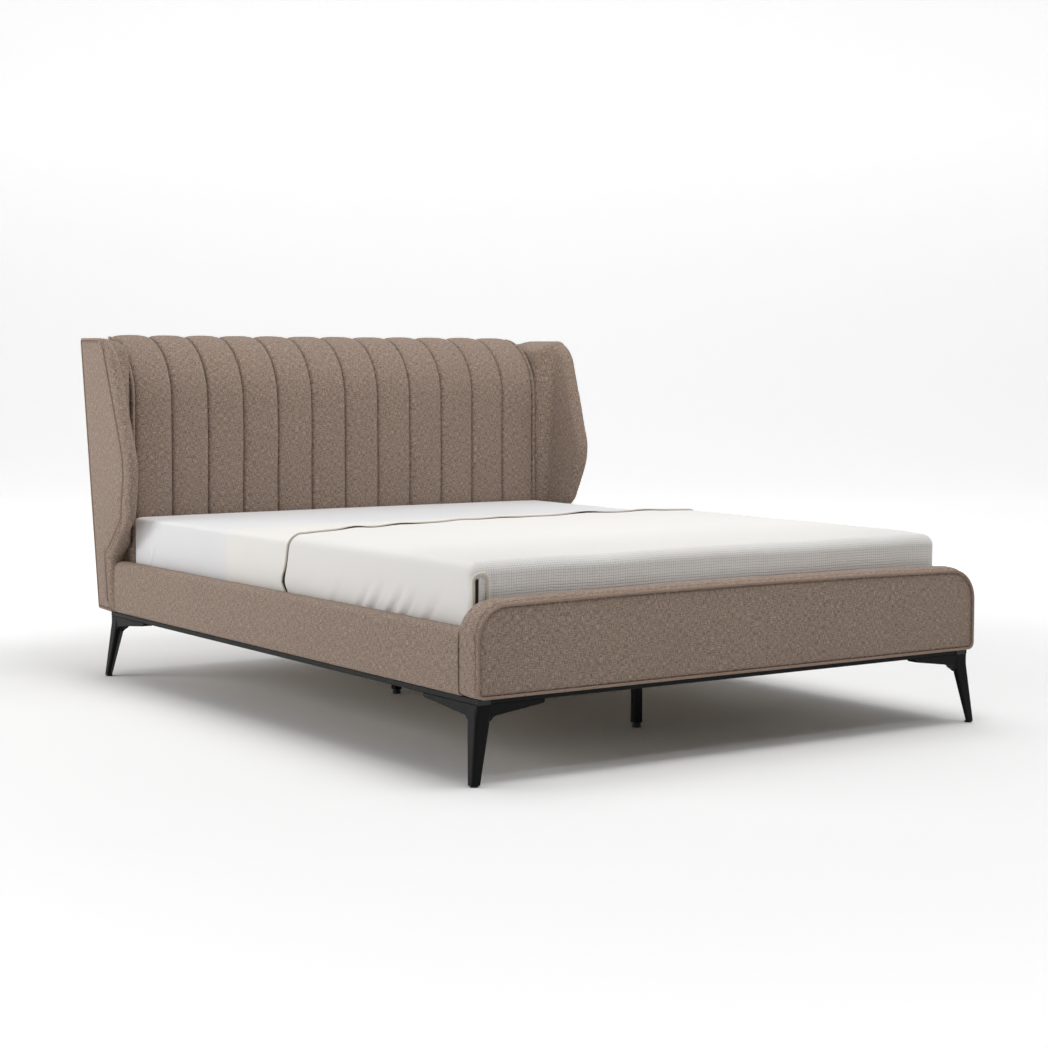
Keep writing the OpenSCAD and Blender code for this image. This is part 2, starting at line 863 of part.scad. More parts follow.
// Puts a shape drawn on the outline's plane onto a wing; its height in Z is the depth from outside
module on_wing(side) {
    on_side(side)
        translate([wing_x, bed_len, underside])
            rotate([0, wing_lean, 0])
                rotate([0, 0, wing_splay])
                    mirror([0, 1, 0])
                        mirror([1, 0, 0])
                            along_x()
                                children();
}

module wing_board(side) color(ply_colour) place()
    on_wing(side)
        translate([0, 0, wing_panel_t])
            linear_extrude(wing_board_t)
                wing_shape(board_set);

module wing_panel(side) color(fabric_colour) place()
    on_wing(side)
        linear_extrude(wing_panel_t)
            wing_shape(wing_panel_t);

module wing_piping(side) color(piping_colour) place()
    on_wing(side)
        linear_extrude(wing_panel_t)
            difference() {
                wing_shape(0);
                wing_shape(wing_panel_t);
            }

// The pad's outline runs past the back and the underside, where it is cut off flat
pad_outline = [for (p = wing_outline)
    [p[0] > 0 ? p[0] : -wing_t, p[1] > 0 ? p[1] : -wing_t]];

// Slices of the pad over its rolled edge: depth, growth on all sides
roll_slices = [[-0.05, -2], [0.06, 1], [0.16, 3.5], [0.32, 5], [0.5, 5], [0.68, 3], [0.84, -3],
    [0.94, -9], [1, -15], [2.2, -28]];

function roll_slice(s) =
    [for (p = inset_points(pad_outline, wing_radii, -s[1], soft_steps))
        [p[0], p[1], wing_panel_t + s[0] * (wing_t - wing_panel_t)]];

// Region that a wing fills, seen from above: outside the headboard and its flared inner face
module wing_plan() {
    front = bed_len - wing_reach - wing_t;
    flare_x = wing_in_x + (head_face_y - front) * tan(wing_flare);
    outer = wing_x + wing_reach;
    translate([0, 0, underside])
        linear_extrude(2 * wing_h)
            polygon([[wing_in_x, bed_len], [wing_in_x, head_face_y], [flare_x, front],
                [outer, front], [outer, bed_len]]);
}

module wing_pad(side) color(fabric_colour) place()
    intersection() {
        on_wing(side)
            difference() {
                loft([for (s = roll_slices) roll_slice(s)]);
                linear_extrude(wing_panel_t)
                    square(3 * wing_h, center = true);
                linear_extrude(wing_panel_t + wing_board_t)
                    wing_shape(board_set);
            }
        on_side(side)
            wing_plan();
    }

module wing_board_left() wing_board(-1);
module wing_board_right() wing_board(1);
module wing_pad_left() wing_pad(-1);
module wing_pad_right() wing_pad(1);
module wing_panel_left() wing_panel(-1);
module wing_panel_right() wing_panel(1);
module wing_piping_left() wing_piping(-1);
module wing_piping_right() wing_piping(1);

// Slats

slat_end_gap = 6;
holder_mid_gap = 0.5;
holder_rail_gap = 1.5;
slat_play = 0.5;
slat_first_y = ledge_front_y + slat_w / 2 + slat_end_gap;
slat_last_y = ledge_back_y - slat_w / 2 - slat_end_gap;
slat_pitch = (slat_last_y - slat_first_y) / (slat_count - 1);
slat_in_x = holder_mid_gap + holder_wall + slat_play;
slat_out_x = board_in_x - holder_rail_gap - holder_wall - slat_play;
slat_edge_r = slat_t / 2 - 0.2;

module slats(side) color("#e0c9a0") place() on_side(side)
    for (i = [0:slat_count - 1])
        translate([slat_in_x, slat_first_y + i * slat_pitch - slat_w / 2, slat_z])
            along_x()
                linear_extrude(slat_out_x - slat_in_x)
                    rect_outline([0, 0], [slat_w, slat_t],
                        [slat_edge_r, slat_edge_r, slat_edge_r, slat_edge_r]);

module slats_left() slats(-1);
module slats_right() slats(1);

// Plastic pocket round the end of a slat; closed on its -X side
module slat_holder() {
    difference() {
        block([0, -slat_w / 2 - holder_wall, deck_z],
            [holder_d, slat_w / 2 + holder_wall, holder_top]);
        block([holder_wall, -slat_w / 2, slat_z], [holder_d + 1, slat_w / 2, slat_z + slat_t]);
    }
}

module slat_holders() color(plastic_colour) place()
    for (side = [-1, 1])
        on_side(side)
            for (i = [0:slat_count - 1])
                translate([0, slat_first_y + i * slat_pitch, 0]) {
                    translate([slat_in_x - holder_wall - slat_play, 0, 0])
                        slat_holder();
                    translate([slat_out_x + holder_wall + slat_play, 0, 0])
                        mirror([1, 0, 0])
                            slat_holder();
                }

// Mattress and bedding

// Mattress shape grown by a given amount and raised by a loft on top, from a bottom height up
module soft_block(grow, bottom, bottom_r, loft = 0) {
    x = mattress_w / 2 + grow;
    front = mattress_front_y - grow;
    back = mattress_back_y + grow;
    top = mattress_top + grow + loft;
    r = mattress_edge_r + grow + loft;
    c = mattress_corner_r + grow;
    intersection() {
        translate([0, 0, bottom])
            linear_extrude(top - bottom)
                rect_outline([-x, front], [x, back], [c, c, c, c]);
        translate([0, front, 0])
            along_y(back - front)
                linear_extrude(back - front)
                    rect_outline([-x, bottom], [x, top], [bottom_r, bottom_r, r, r]);
        translate([-x, 0, 0])
            along_x()
                linear_extrude(2 * x)
                    rect_outline([front, bottom], [back, top], [bottom_r, bottom_r, r, r]);
    }
}

// Layer of bedding between two growths, from the foot to a given length
module bedding_layer(inner, outer, end_y, loft = 0) {
    intersection() {
        difference() {
            soft_block(outer, mattress_top - tuck_depth, 0, loft);
            soft_block(inner, mattress_top - tuck_depth - 1, 0);
        }
        block([-mattress_w, 0, 0], [mattress_w, end_y, mattress_top + mattress_h]);
    }
}

module mattress() color("#e9e7e2") place()
    soft_block(0, holder_top, mattress_edge_r);

module fitted_sheet() color("#eef0f2") place()
    bedding_layer(0, sheet_t, bed_len);

module cream_blanket() color("#e8e5dc") place()
    bedding_layer(sheet_t, sheet_t + blanket_t, mattress_back_y - blanket_back);

module quilt() color("#f1f0ec") place()
    bedding_layer(sheet_t + blanket_t, bedding_t, mattress_back_y - quilt_back, quilt_loft);

side_tube_left();
side_tube_right();
foot_tube();
head_tube();
tube_caps();
crossbar_front();
crossbar_rear();
centre_beam();
support_leg_front();
support_leg_rear_left();
support_leg_rear_right();
support_feet();
leg_front_left();
leg_front_right();
leg_rear_left();
leg_rear_right();
leg_glides();
leg_bolts();
rail_board_left();
rail_board_right();
rail_pad_left();
rail_pad_right();
slat_ledge_left();
slat_ledge_right();
corner_brackets();
bracket_bolts();
footboard_timbers();
footboard_ply();
footboard_pad();
footboard_panel();
footboard_piping();
headboard_ribs();
headboard_bottom_rail();
headboard_skin();
headboard_channels();
headboard_back();
wing_spacers();
wing_board_left();
wing_board_right();
wing_pad_left();
wing_pad_right();
wing_panel_left();
wing_panel_right();
wing_piping_left();
wing_piping_right();
slats_left();
slats_right();
slat_holders();
mattress();
fitted_sheet();
cream_blanket();
quilt();
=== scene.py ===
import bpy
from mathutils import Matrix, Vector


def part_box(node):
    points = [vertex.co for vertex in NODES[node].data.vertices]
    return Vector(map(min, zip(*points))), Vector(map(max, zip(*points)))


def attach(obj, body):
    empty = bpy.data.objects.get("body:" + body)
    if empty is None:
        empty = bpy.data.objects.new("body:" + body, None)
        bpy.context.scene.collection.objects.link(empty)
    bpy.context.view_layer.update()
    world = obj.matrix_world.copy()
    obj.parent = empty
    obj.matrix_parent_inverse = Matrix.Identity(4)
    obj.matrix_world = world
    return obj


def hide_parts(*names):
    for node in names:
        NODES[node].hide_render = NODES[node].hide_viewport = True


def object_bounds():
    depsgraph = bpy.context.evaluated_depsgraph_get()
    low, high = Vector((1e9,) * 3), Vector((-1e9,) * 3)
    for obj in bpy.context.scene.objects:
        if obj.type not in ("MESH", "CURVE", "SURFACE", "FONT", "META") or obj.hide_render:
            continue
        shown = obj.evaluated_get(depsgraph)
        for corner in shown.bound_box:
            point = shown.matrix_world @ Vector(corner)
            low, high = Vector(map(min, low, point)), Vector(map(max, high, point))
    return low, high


bl_info = {
    "name": "Upholstered Bed",
    "version": (1, 0, 0),
    "blender": (4, 5, 0),
    "location": "3D View > Sidebar > Bed",
    "description": "Soft parts, finishes and studio of a bed with a channelled headboard between wings",
    "category": "Object",
}

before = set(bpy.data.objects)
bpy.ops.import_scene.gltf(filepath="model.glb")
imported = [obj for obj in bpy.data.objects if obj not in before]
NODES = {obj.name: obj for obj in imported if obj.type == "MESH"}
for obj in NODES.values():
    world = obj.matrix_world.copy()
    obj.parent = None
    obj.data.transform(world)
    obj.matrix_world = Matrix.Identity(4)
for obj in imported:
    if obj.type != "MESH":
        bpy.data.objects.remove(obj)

import math

import bmesh
import bpy
import numpy as np
from bpy.props import FloatProperty, FloatVectorProperty, IntProperty, PointerProperty
from mathutils import Matrix

CAD_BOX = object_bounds()
FRAME_BODY = "bed_frame"
BEDDING_BODY = "mattress_and_bedding"
FRONT = float(CAD_BOX[0][1])

# Sizes of the solids in metres. X runs across the bed, Y back from the footboard's front
# face and Z up from the floor.
BED_LEN = float(CAD_BOX[1][1] - CAD_BOX[0][1])
UNDERSIDE = 0.212
RAIL_TOP = 0.379
RAIL_X = 0.842
RAIL_IN_X = 0.795
RAIL_END_Y = 2.169
HEAD_FACE_Y = 2.131
MATTRESS_HALF = 0.780
MATTRESS_FRONT = 0.118
MATTRESS_BACK = 2.118
MATTRESS_BOTTOM = 0.291
MATTRESS_TOP = 0.521
MATTRESS_CORNER = 0.022
COVER_LOW = 0.331
SIDES = {-1: "left", 1: "right"}


# Sizes and colours

def linear(code):
    """A screen colour written as six hex digits, as linear light by the sRGB curve."""
    part = np.array([int(code[i:i + 2], 16) for i in (0, 2, 4)]) / 255
    return tuple(np.where(part <= 0.04045, part / 12.92, ((part + 0.055) / 1.055) ** 2.4))


def length(name, text, value):
    """A size in the panel, in metres."""
    return FloatProperty(name=name, description=text, default=value, min=0, unit="LENGTH",
                         precision=4)


def colour(name, text, code):
    """A colour in the panel, from six hex digits."""
    return FloatVectorProperty(name=name, description=text, default=linear(code), size=3,
                               subtype="COLOR", min=0, max=1)


class BedSizes(bpy.types.PropertyGroup):
    channel_pitch: length("Channel pitch", "Width of one headboard channel", 0.1292)
    channel_crown: length("Channel crown", "How far a channel swells past its seams", 0.0095)
    channel_count: IntProperty(name="Channels", description="Channels across the headboard",
                               default=12, min=2)
    roll_radius: length("Roll radius", "Radius of the headboard's rolled top", 0.200)
    roll_height: length("Roll height", "Height of the roll's axis above the floor", 0.904)
    piping_radius: length("Piping radius", "Radius of the cord piping", 0.0038)
    roll_swell: length("Wing roll swell", "How far the wing's padded border swells", 0.0150)
    footboard_swell: length("Footboard swell", "How far the footboard's border swells", 0.006)
    quilt_crown: length("Quilt crown", "Rise of the quilt towards the bed's middle", 0.006)
    quilt_thick: length("Quilt thickness", "Thickness of the quilt", 0.006)
    blanket_thick: length("Blanket thickness", "Thickness of the cream blanket", 0.0028)
    sheet_thick: length("Sheet thickness", "Thickness of the fitted sheet", 0.0015)
    waffle_cell: length("Waffle cell", "Width of one cell of the quilt's waffle weave", 0.0075)


class BedColours(bpy.types.PropertyGroup):
    fabric_dark: colour("Fabric, dark yarn", "Darkest yarn of the upholstery", "8c786a")
    fabric_mid: colour("Fabric, ground", "Ground yarn of the upholstery", "a69182")
    fabric_light: colour("Fabric, flecks", "Light flecks of the upholstery", "c6b5a7")
    piping: colour("Piping", "Cord piping", "a08a7a")
    thread: colour("Thread", "Sewing thread of the upholstery", "6e5b4e")
    sheet: colour("Fitted sheet", "Cotton of the fitted sheet", "e8e8e9")
    blanket: colour("Blanket", "Cream layer between sheet and quilt", "ebe9e4")
    quilt: colour("Quilt", "Waffle cotton of the quilt", "e4e2df")
    hem: colour("Quilt hem", "Cord along the quilt's edge", "cfc7bb")
    # Painted shade: this dark colour stands in for the shadow in the gap under the quilt's head edge;
    # it is no real tape.
    binding: colour("Quilt binding", "Tape under the quilt's edge", "33291f")
    ticking: colour("Mattress ticking", "Cover of the mattress", "e8e6e1")
    steel: colour("Steel", "Powder coat of the steel frame", "0b0b0b")
    pine: colour("Pine", "Timber rails and boards", "cda97c")
    birch: colour("Birch", "Bent slats", "dcc29a")
    floor: colour("Floor", "Studio floor and backdrop", "f4f4f4")


def sizes():
    return bpy.context.scene.bed_sizes


def colours():
    return bpy.context.scene.bed_colours


# Surfaces

ARC_POINTS = 14
MERGE_WITHIN = 2e-5
SLIVER = 1e-6
STITCH_SHARE = 0.68


def ripple(a, b, wave, seed, count=9):
    """Soft unevenness of about -1 to 1: a sum of sine waves of about the given wavelength,
    each in its own seeded direction and phase."""
    rng = np.random.default_rng(seed)
    turn = rng.uniform(0, 2 * np.pi, count)
    size = 2 * np.pi / (wave * rng.uniform(0.7, 1.6, count))
    phase = rng.uniform(0, 2 * np.pi, count)
    total = sum(np.sin(a * np.cos(t) * k + b * np.sin(t) * k + p)
                for t, k, p in zip(turn, size, phase))
    return total / count ** 0.5 / 1.6


def step_up(x, low, high):
    """0 below low, 1 above high, and a smooth cubic between."""
    t = np.clip((x - low) / (high - low), 0, 1)
    return t * t * (3 - 2 * t)


def places(low, high, step, fine_at=(), fine=0.003, reach=0.05):
    """Sample places from low to high, step apart, with finer ones near each place given."""
    parts = [np.linspace(low, high, max(2, int(round((high - low) / step)) + 1))]
    for at in fine_at:
        a, b = max(low, at - reach), min(high, at + reach)
        if b > a:
            parts.append(np.linspace(a, b, max(2, int(round((b - a) / fine)) + 1)))
    every = np.unique(np.round(np.concatenate(parts), 6))
    keep = np.concatenate([[True], np.diff(every) > 0.4 * fine])
    keep[-1] = True
    return every[keep]


def run_of(line):
    """Distance along a line at each of its points."""
    return np.concatenate([[0], np.cumsum(np.linalg.norm(np.diff(line, axis=0), axis=1))])


def spread(line, values, count):
    """What is given at each point of a line, read at count even steps along its length."""
    run = run_of(line)
    at = np.linspace(0, run[-1], count + 1)
    return np.stack([np.interp(at, run, part) for part in values.T], -1)


def along(line, closed=True):
    """Unit vectors along a line at each of its points."""
    if closed:
        step = np.roll(line[:-1], -1, 0) - np.roll(line[:-1], 1, 0)
        step = np.vstack([step, step[:1]])
    else:
        step = np.gradient(line, axis=0)
    return step / np.linalg.norm(step, axis=1)[:, None]


def rounded(corners, radii, count):
    """A closed outline of count even steps. Each corner gives way to the arc of its radius
    that touches both its sides, at radius / tan(half the corner's angle) from it."""
    corners = np.array(corners, float)
    arcs = []
    for i, radius in enumerate(radii):
        corner = corners[i]
        to_last = corners[i - 1] - corner
        to_next = corners[(i + 1) % len(corners)] - corner
        to_last = to_last / np.linalg.norm(to_last)
        to_next = to_next / np.linalg.norm(to_next)
        half = math.acos(np.clip(to_last @ to_next, -1, 1)) / 2
        between = (to_last + to_next) / np.linalg.norm(to_last + to_next)
        centre = corner + between * radius / math.sin(half)
        first = corner + to_last * radius / math.tan(half) - centre
        last = corner + to_next * radius / math.tan(half) - centre
        start = math.atan2(first[1], first[0])
        turn = (math.atan2(last[1], last[0]) - start + math.pi) % (2 * math.pi) - math.pi
        a = start + turn * np.linspace(0, 1, ARC_POINTS)
        arcs.append(centre + radius * np.stack([np.cos(a), np.sin(a)], -1))
    ring = np.vstack(arcs + [arcs[0][:1]])
    return spread(ring, ring, count)


def outward(outline):
    """Unit normals of a closed anticlockwise outline, away from its inside."""
    ahead = along(outline)
    return np.stack([ahead[:, 1], -ahead[:, 0]], -1)


def closing(ring, core, share):
    """Rows of a ring drawn in to its core line, as share runs from 0 to 1."""
    return ring[None] + (core - ring)[None] * share[:, None, None]


def make(name, grids, material, body=FRAME_BODY, replaces=(), sharp=50):
    """One mesh from grids of points. Each grid is (points, uv): rows by columns of places in
    metres, and of the same places on the flat cloth. Neighbours in a grid make a four-sided
    face, and points that meet are merged, which closes rings and poles."""
    points, uvs, quads, start = [], [], [], 0
    for grid, uv in grids:
        rows, cols = grid.shape[:2]
        index = np.arange(rows * cols).reshape(rows, cols) + start
        quads.append(np.stack([index[:-1, :-1], index[1:, :-1], index[1:, 1:],
                               index[:-1, 1:]], -1).reshape(-1, 4))
        points.append(grid.reshape(-1, 3))
        uvs.append(uv.reshape(-1, 2))
        start += rows * cols
    points, uvs, quads = np.vstack(points), np.vstack(uvs), np.vstack(quads)
    points = points + np.array([0, FRONT, 0])
    mesh = bpy.data.meshes.new(name)
    mesh.vertices.add(len(points))
    mesh.vertices.foreach_set("co", points.astype(np.float32).ravel())
    mesh.loops.add(quads.size)
    mesh.loops.foreach_set("vertex_index", quads.astype(np.int32).ravel())
    mesh.polygons.add(len(quads))
    mesh.polygons.foreach_set("loop_start", np.arange(0, quads.size, 4, dtype=np.int32))
    mesh.update(calc_edges=True)
    layer = mesh.uv_layers.new(name="UVMap")
    layer.data.foreach_set("uv", uvs[quads.ravel()].astype(np.float32).ravel())
    mesh.validate()
    shell = bmesh.new()
    shell.from_mesh(mesh)
    bmesh.ops.remove_doubles(shell, verts=shell.verts, dist=MERGE_WITHIN)
    bmesh.ops.dissolve_degenerate(shell, edges=shell.edges, dist=SLIVER)
    bmesh.ops.recalc_face_normals(shell, faces=shell.faces)
    shell.to_mesh(mesh)
    shell.free()
    mesh.polygons.foreach_set("use_smooth", np.ones(len(mesh.polygons), dtype=bool))
    mesh.set_sharp_from_angle(angle=math.radians(sharp))
    piece = bpy.data.objects.new(name, mesh)
    bpy.context.scene.collection.objects.link(piece)
    mesh.materials.append(material)
    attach(piece, body)
    if replaces:
        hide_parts(*replaces)
    return piece


def plain_uv(across, up):
    """Flat cloth places from two lengths measured on the cloth."""
    return np.stack([across, up], -1)


def facing(grid, across, up):
    """A grid with its flat cloth places, for a piece that faces along the third axis."""
    return grid, grid[..., [across, up]]


def blank(grid):
    """A grid whose cloth places don't matter."""
    return grid, np.zeros(grid.shape[:2] + (2,))


def tube(path, radius, sides=10, closed=True, up=(0, 0, 1)):
    """A round cord: a circle of the given radius, one for all or one for each point, carried
    along the path, square to it. Its cloth runs along the path and round the circle. An open
    cord's ends are rounded."""
    ahead = along(path, closed)
    side = np.cross(ahead, up)
    side /= np.linalg.norm(side, axis=1)[:, None]
    lift = np.cross(side, ahead)
    size = np.array(np.broadcast_to(radius, len(path)))
    if not closed:
        size[[0, -1]] = 0
        size[[1, -2]] *= 0.8
    a = np.linspace(0, 2 * np.pi, sides + 1)
    ring = np.cos(a)[None, :, None] * side[:, None] + np.sin(a)[None, :, None] * lift[:, None]
    grid = path[:, None] + ring * size[:, None, None]
    round_it = a[None] * np.mean(radius)
    return grid, plain_uv(*np.broadcast_arrays(run_of(path)[:, None], round_it))


def stitch_row(path, normal, pitch, thick):
    """A row of stitches: one small lozenge of thread for each pitch of the path, lying along
    it, pointed at both ends and proud of the cloth by its thickness."""
    count = int(run_of(path)[-1] / pitch)
    place = spread(path, path, count)
    out = spread(path, normal, count)[:-1]
    middle = (place[1:] + place[:-1]) / 2
    step = place[1:] - place[:-1]
    side = np.cross(step / np.linalg.norm(step, axis=1)[:, None], out)
    a = np.linspace(0, 2 * np.pi, 6)
    at = STITCH_SHARE * np.array([-0.5, -0.3, 0.3, 0.5])
    size = np.array([0, 1, 1, 0]) * thick
    ring = (np.cos(a)[None, None, :, None] * side[:, None, None]
            + np.sin(a)[None, None, :, None] * out[:, None, None]) * size[None, :, None, None]
    grid = middle[:, None, None] + step[:, None, None] * at[None, :, None, None] + ring
    return [blank(stitch) for stitch in grid]


# Materials

# Painted light: how strongly the floor and backdrop glow away from the bed.
BACKDROP_GLOW = 0.46
# Painted light: the whiter colour of the quilt's foot wall.
FOOT_WALL_PAINTED_LIGHT = (0.93, 0.915, 0.89)
# Painted shade: the dark colour inside the slit at the quilt's left foot corner.
SLIT_PAINTED_SHADE = (0.050, 0.036, 0.027)
# Each cotton: its colour, the pitch of its weave, the height of its relief, its roughness.
COTTONS = {"sheet_cotton": ("sheet", 0.0012, 0.0012, 0.80),
           "blanket_cream": ("blanket", 0.003, 0.002, 0.88),
           "quilt_hem": ("hem", 0.002, 0.0008, 0.80),
           # Painted shade: the dark cotton of the strip under the quilt's head edge.
           "quilt_binding": ("binding", 0.002, 0.0006, 0.90)}


class Value:
    """A shader socket that takes part in arithmetic. Each operation adds one Math node."""

    def __init__(self, finish, socket):
        self.finish, self.socket = finish, socket

    def math(self, operation, *values):
        return self.finish.value("ShaderNodeMath", {"operation": operation}, values)

    def __add__(self, other):
        return self.math("ADD", self, other)

    def __sub__(self, other):
        return self.math("SUBTRACT", self, other)

    def __rsub__(self, other):
        return self.math("SUBTRACT", other, self)

    def __mul__(self, other):
        return self.math("MULTIPLY", self, other)

    def __pow__(self, other):
        return self.math("POWER", self, other)

    __radd__, __rmul__ = __add__, __mul__

    def at_most(self, other):
        return self.math("MINIMUM", self, other)

    def at_least(self, other):
        return self.math("MAXIMUM", self, other)

    def size(self):
        return self.math("ABSOLUTE", self)

    def sine(self):
        return self.math("SINE", self)

    def wave(self, span):
        """A sine wave from -1 to 1 that repeats after the given span."""
        return (self * (2 * math.pi / span)).sine()

    def rise(self, low, high):
        """0 below low, 1 above high and smooth between."""
        return self.finish.value("ShaderNodeMapRange", {"interpolation_type": "SMOOTHSTEP"},
                                 {"Value": self, "From Min": low, "From Max": high})


class Finish:
    """A material in the making: one Principled shader, and nodes that feed it."""

    def __init__(self, name, **constants):
        self.material = bpy.data.materials.new(name)
        self.material.use_nodes = True
        self.tree = self.material.node_tree
        self.tree.nodes.clear()
        self.shader = self.node("ShaderNodeBsdfPrincipled", inputs={
            key.replace("_", " "): value for key, value in constants.items()})
        end = self.node("ShaderNodeOutputMaterial")
        self.tree.links.new(self.shader.outputs[0], end.inputs[0])

    def node(self, kind, settings=None, inputs=()):
        """A node of that type: its settings first, then the values or links of its inputs."""
        node = self.tree.nodes.new(kind)
        for key, value in (settings or {}).items():
            setattr(node, key, value)
        for key, value in inputs.items() if isinstance(inputs, dict) else enumerate(inputs):
            self.feed(node.inputs[key], value)
        return node

    def feed(self, socket, value):
        if isinstance(value, Value):
            self.tree.links.new(value.socket, socket)
        elif value is not None:
            socket.default_value = value

    def value(self, kind, settings=None, inputs=(), output=0):
        """One output of a new node."""
        return Value(self, self.node(kind, settings, inputs).outputs[output])

    def cloth_place(self):
        """Where a point is on the flat cloth, in metres."""
        return self.value("ShaderNodeUVMap", {"uv_map": "UVMap"})

    def place(self):
        """Where a point is on its own object, in metres."""
        return self.value("ShaderNodeTexCoord", output=3)

    def parts(self, vector):
        split = self.node("ShaderNodeSeparateXYZ", inputs=(vector,))
        return [Value(self, s) for s in split.outputs]

    def noise(self, vector, scale, detail=2.0, rough=0.5, bend=0.0):
        """Soft noise from 0 to 1, finer as scale grows: one number, or one for each axis."""
        if isinstance(scale, tuple):
            vector = self.value("ShaderNodeVectorMath", {"operation": "MULTIPLY"},
                                (vector, scale))
            scale = 1.0
        return self.value("ShaderNodeTexNoise", {"noise_dimensions": "3D"},
                          {"Vector": vector, "Scale": scale, "Detail": detail,
                           "Roughness": rough, "Distortion": bend})

    def blend(self, share, a, b):
        """Colour a where share is 0, b where it is 1."""
        a, b = (tint if isinstance(tint, Value) else (*tint, 1) for tint in (a, b))
        return self.value("ShaderNodeMix", {"data_type": "RGBA", "clamp_factor": True},
                          {0: share, 6: a, 7: b}, output=2)

    def bump(self, height, distance, strength, base=None):
        """A normal that shows the height, over the normal of the base if there is one."""
        return self.value("ShaderNodeBump", None,
                          {"Height": height, "Distance": distance, "Strength": strength,
                           "Normal": base})

    def done(self, **inputs):
        for key, value in inputs.items():
            self.feed(self.shader.inputs[key.replace("_", " ")], value)
        return self.material


def shade(tint, by):
    """A colour made lighter or darker."""
    return tuple(min(1.0, max(0.0, part * by)) for part in tint)


MADE = {}


def once(maker):
    """A material is made on first use and shared after that."""
    def get(*key):
        if (maker, key) not in MADE:
            MADE[maker, key] = maker(*key)
        return MADE[maker, key]
    return get


@once
def upholstery():
    """Linen-like plain weave: thick and thin yarns show as short streaks both ways of the
    cloth, 2 mm wide and 13 mm long, over a fine weave, with scattered light and dark
    slubs."""
    c = colours()
    f = Finish("upholstery", Sheen_Weight=0.10, Sheen_Roughness=0.5, Specular_IOR_Level=0.2)
    flat = f.cloth_place()
    warp = f.noise(flat, (520, 75, 1), 1)
    weft = f.noise(flat, (75, 520, 1), 1)
    fine = f.noise(flat, (1100, 260, 1), 1) * 0.5 + f.noise(flat, (260, 1100, 1), 1) * 0.5
    slow = f.noise(flat, (5, 5, 1))
    yarn = (warp + weft) * 0.42 + fine * 0.16
    ground = f.blend((yarn + (slow - 0.5) * 0.04).rise(0.38, 0.61), shade(c.fabric_dark, 0.86),
                     shade(c.fabric_mid, 1.06))
    slub = warp.at_least(weft).rise(0.60, 0.72)
    body = f.blend(slub * 0.70, ground, c.fabric_light)
    dark = 1 - warp.at_most(weft).rise(0.30, 0.42)
    body = f.blend(dark * 0.42, body, shade(c.fabric_dark, 0.50))
    u, v = f.parts(flat)[:2]
    thread = u.wave(0.0016) * v.wave(0.0016)
    normal = f.bump(yarn * 1.6 + thread * 0.12 + slub * 0.2, 0.0022, 0.9)
    return f.done(Base_Color=body, Roughness=fine * 0.2 + 0.78, Normal=normal)


@once
def piping_cloth():
    """The same yarns wound round a cord, cut on the bias so the weave runs slantwise."""
    c = colours()
    f = Finish("piping", Roughness=0.85, Sheen_Weight=0.1, Specular_IOR_Level=0.2)
    flat = f.cloth_place()
    u, v = f.parts(flat)[:2]
    slant = (u + v).wave(0.005) * 0.5 + 0.5
    mottle = f.noise(flat, (150, 260, 1))
    body = f.blend((mottle * 0.8 + slant * 0.2).rise(0.32, 0.70), shade(c.piping, 0.66),
                   c.piping)
    return f.done(Base_Color=body, Normal=f.bump(slant * 0.5 + mottle, 0.0008, 0.8))


@once
def sewing_thread():
    """Dull twisted thread, uneven in tone."""
    c = colours()
    f = Finish("thread")
    tone = f.noise(f.place(), 900)
    return f.done(Base_Color=f.blend(tone, shade(c.thread, 0.75), c.thread), Roughness=0.6)


@once
def cotton(name):
    """Plain cotton: a fine even weave, slight creases and a faint change of tone."""
    kind, weave, relief, rough = COTTONS[name]
    tint = getattr(colours(), kind)
    f = Finish(name)
    flat = f.cloth_place()
    u, v = f.parts(flat)[:2]
    thread = u.wave(weave) * v.wave(weave)
    crease = f.noise(flat, (26, 26, 1), 4, 0.55, 0.3)
    slow = f.noise(flat, (5, 5, 1))
    body = f.blend((slow - 0.3) * 0.8, tint, shade(tint, 0.955))
    normal = f.bump(thread * 0.12 + crease * 0.5, relief, 0.7)
    return f.done(Base_Color=body, Roughness=(slow - 0.5) * 0.1 + rough, Normal=normal,
                  Sheen_Weight=0.15, Specular_IOR_Level=0.2)


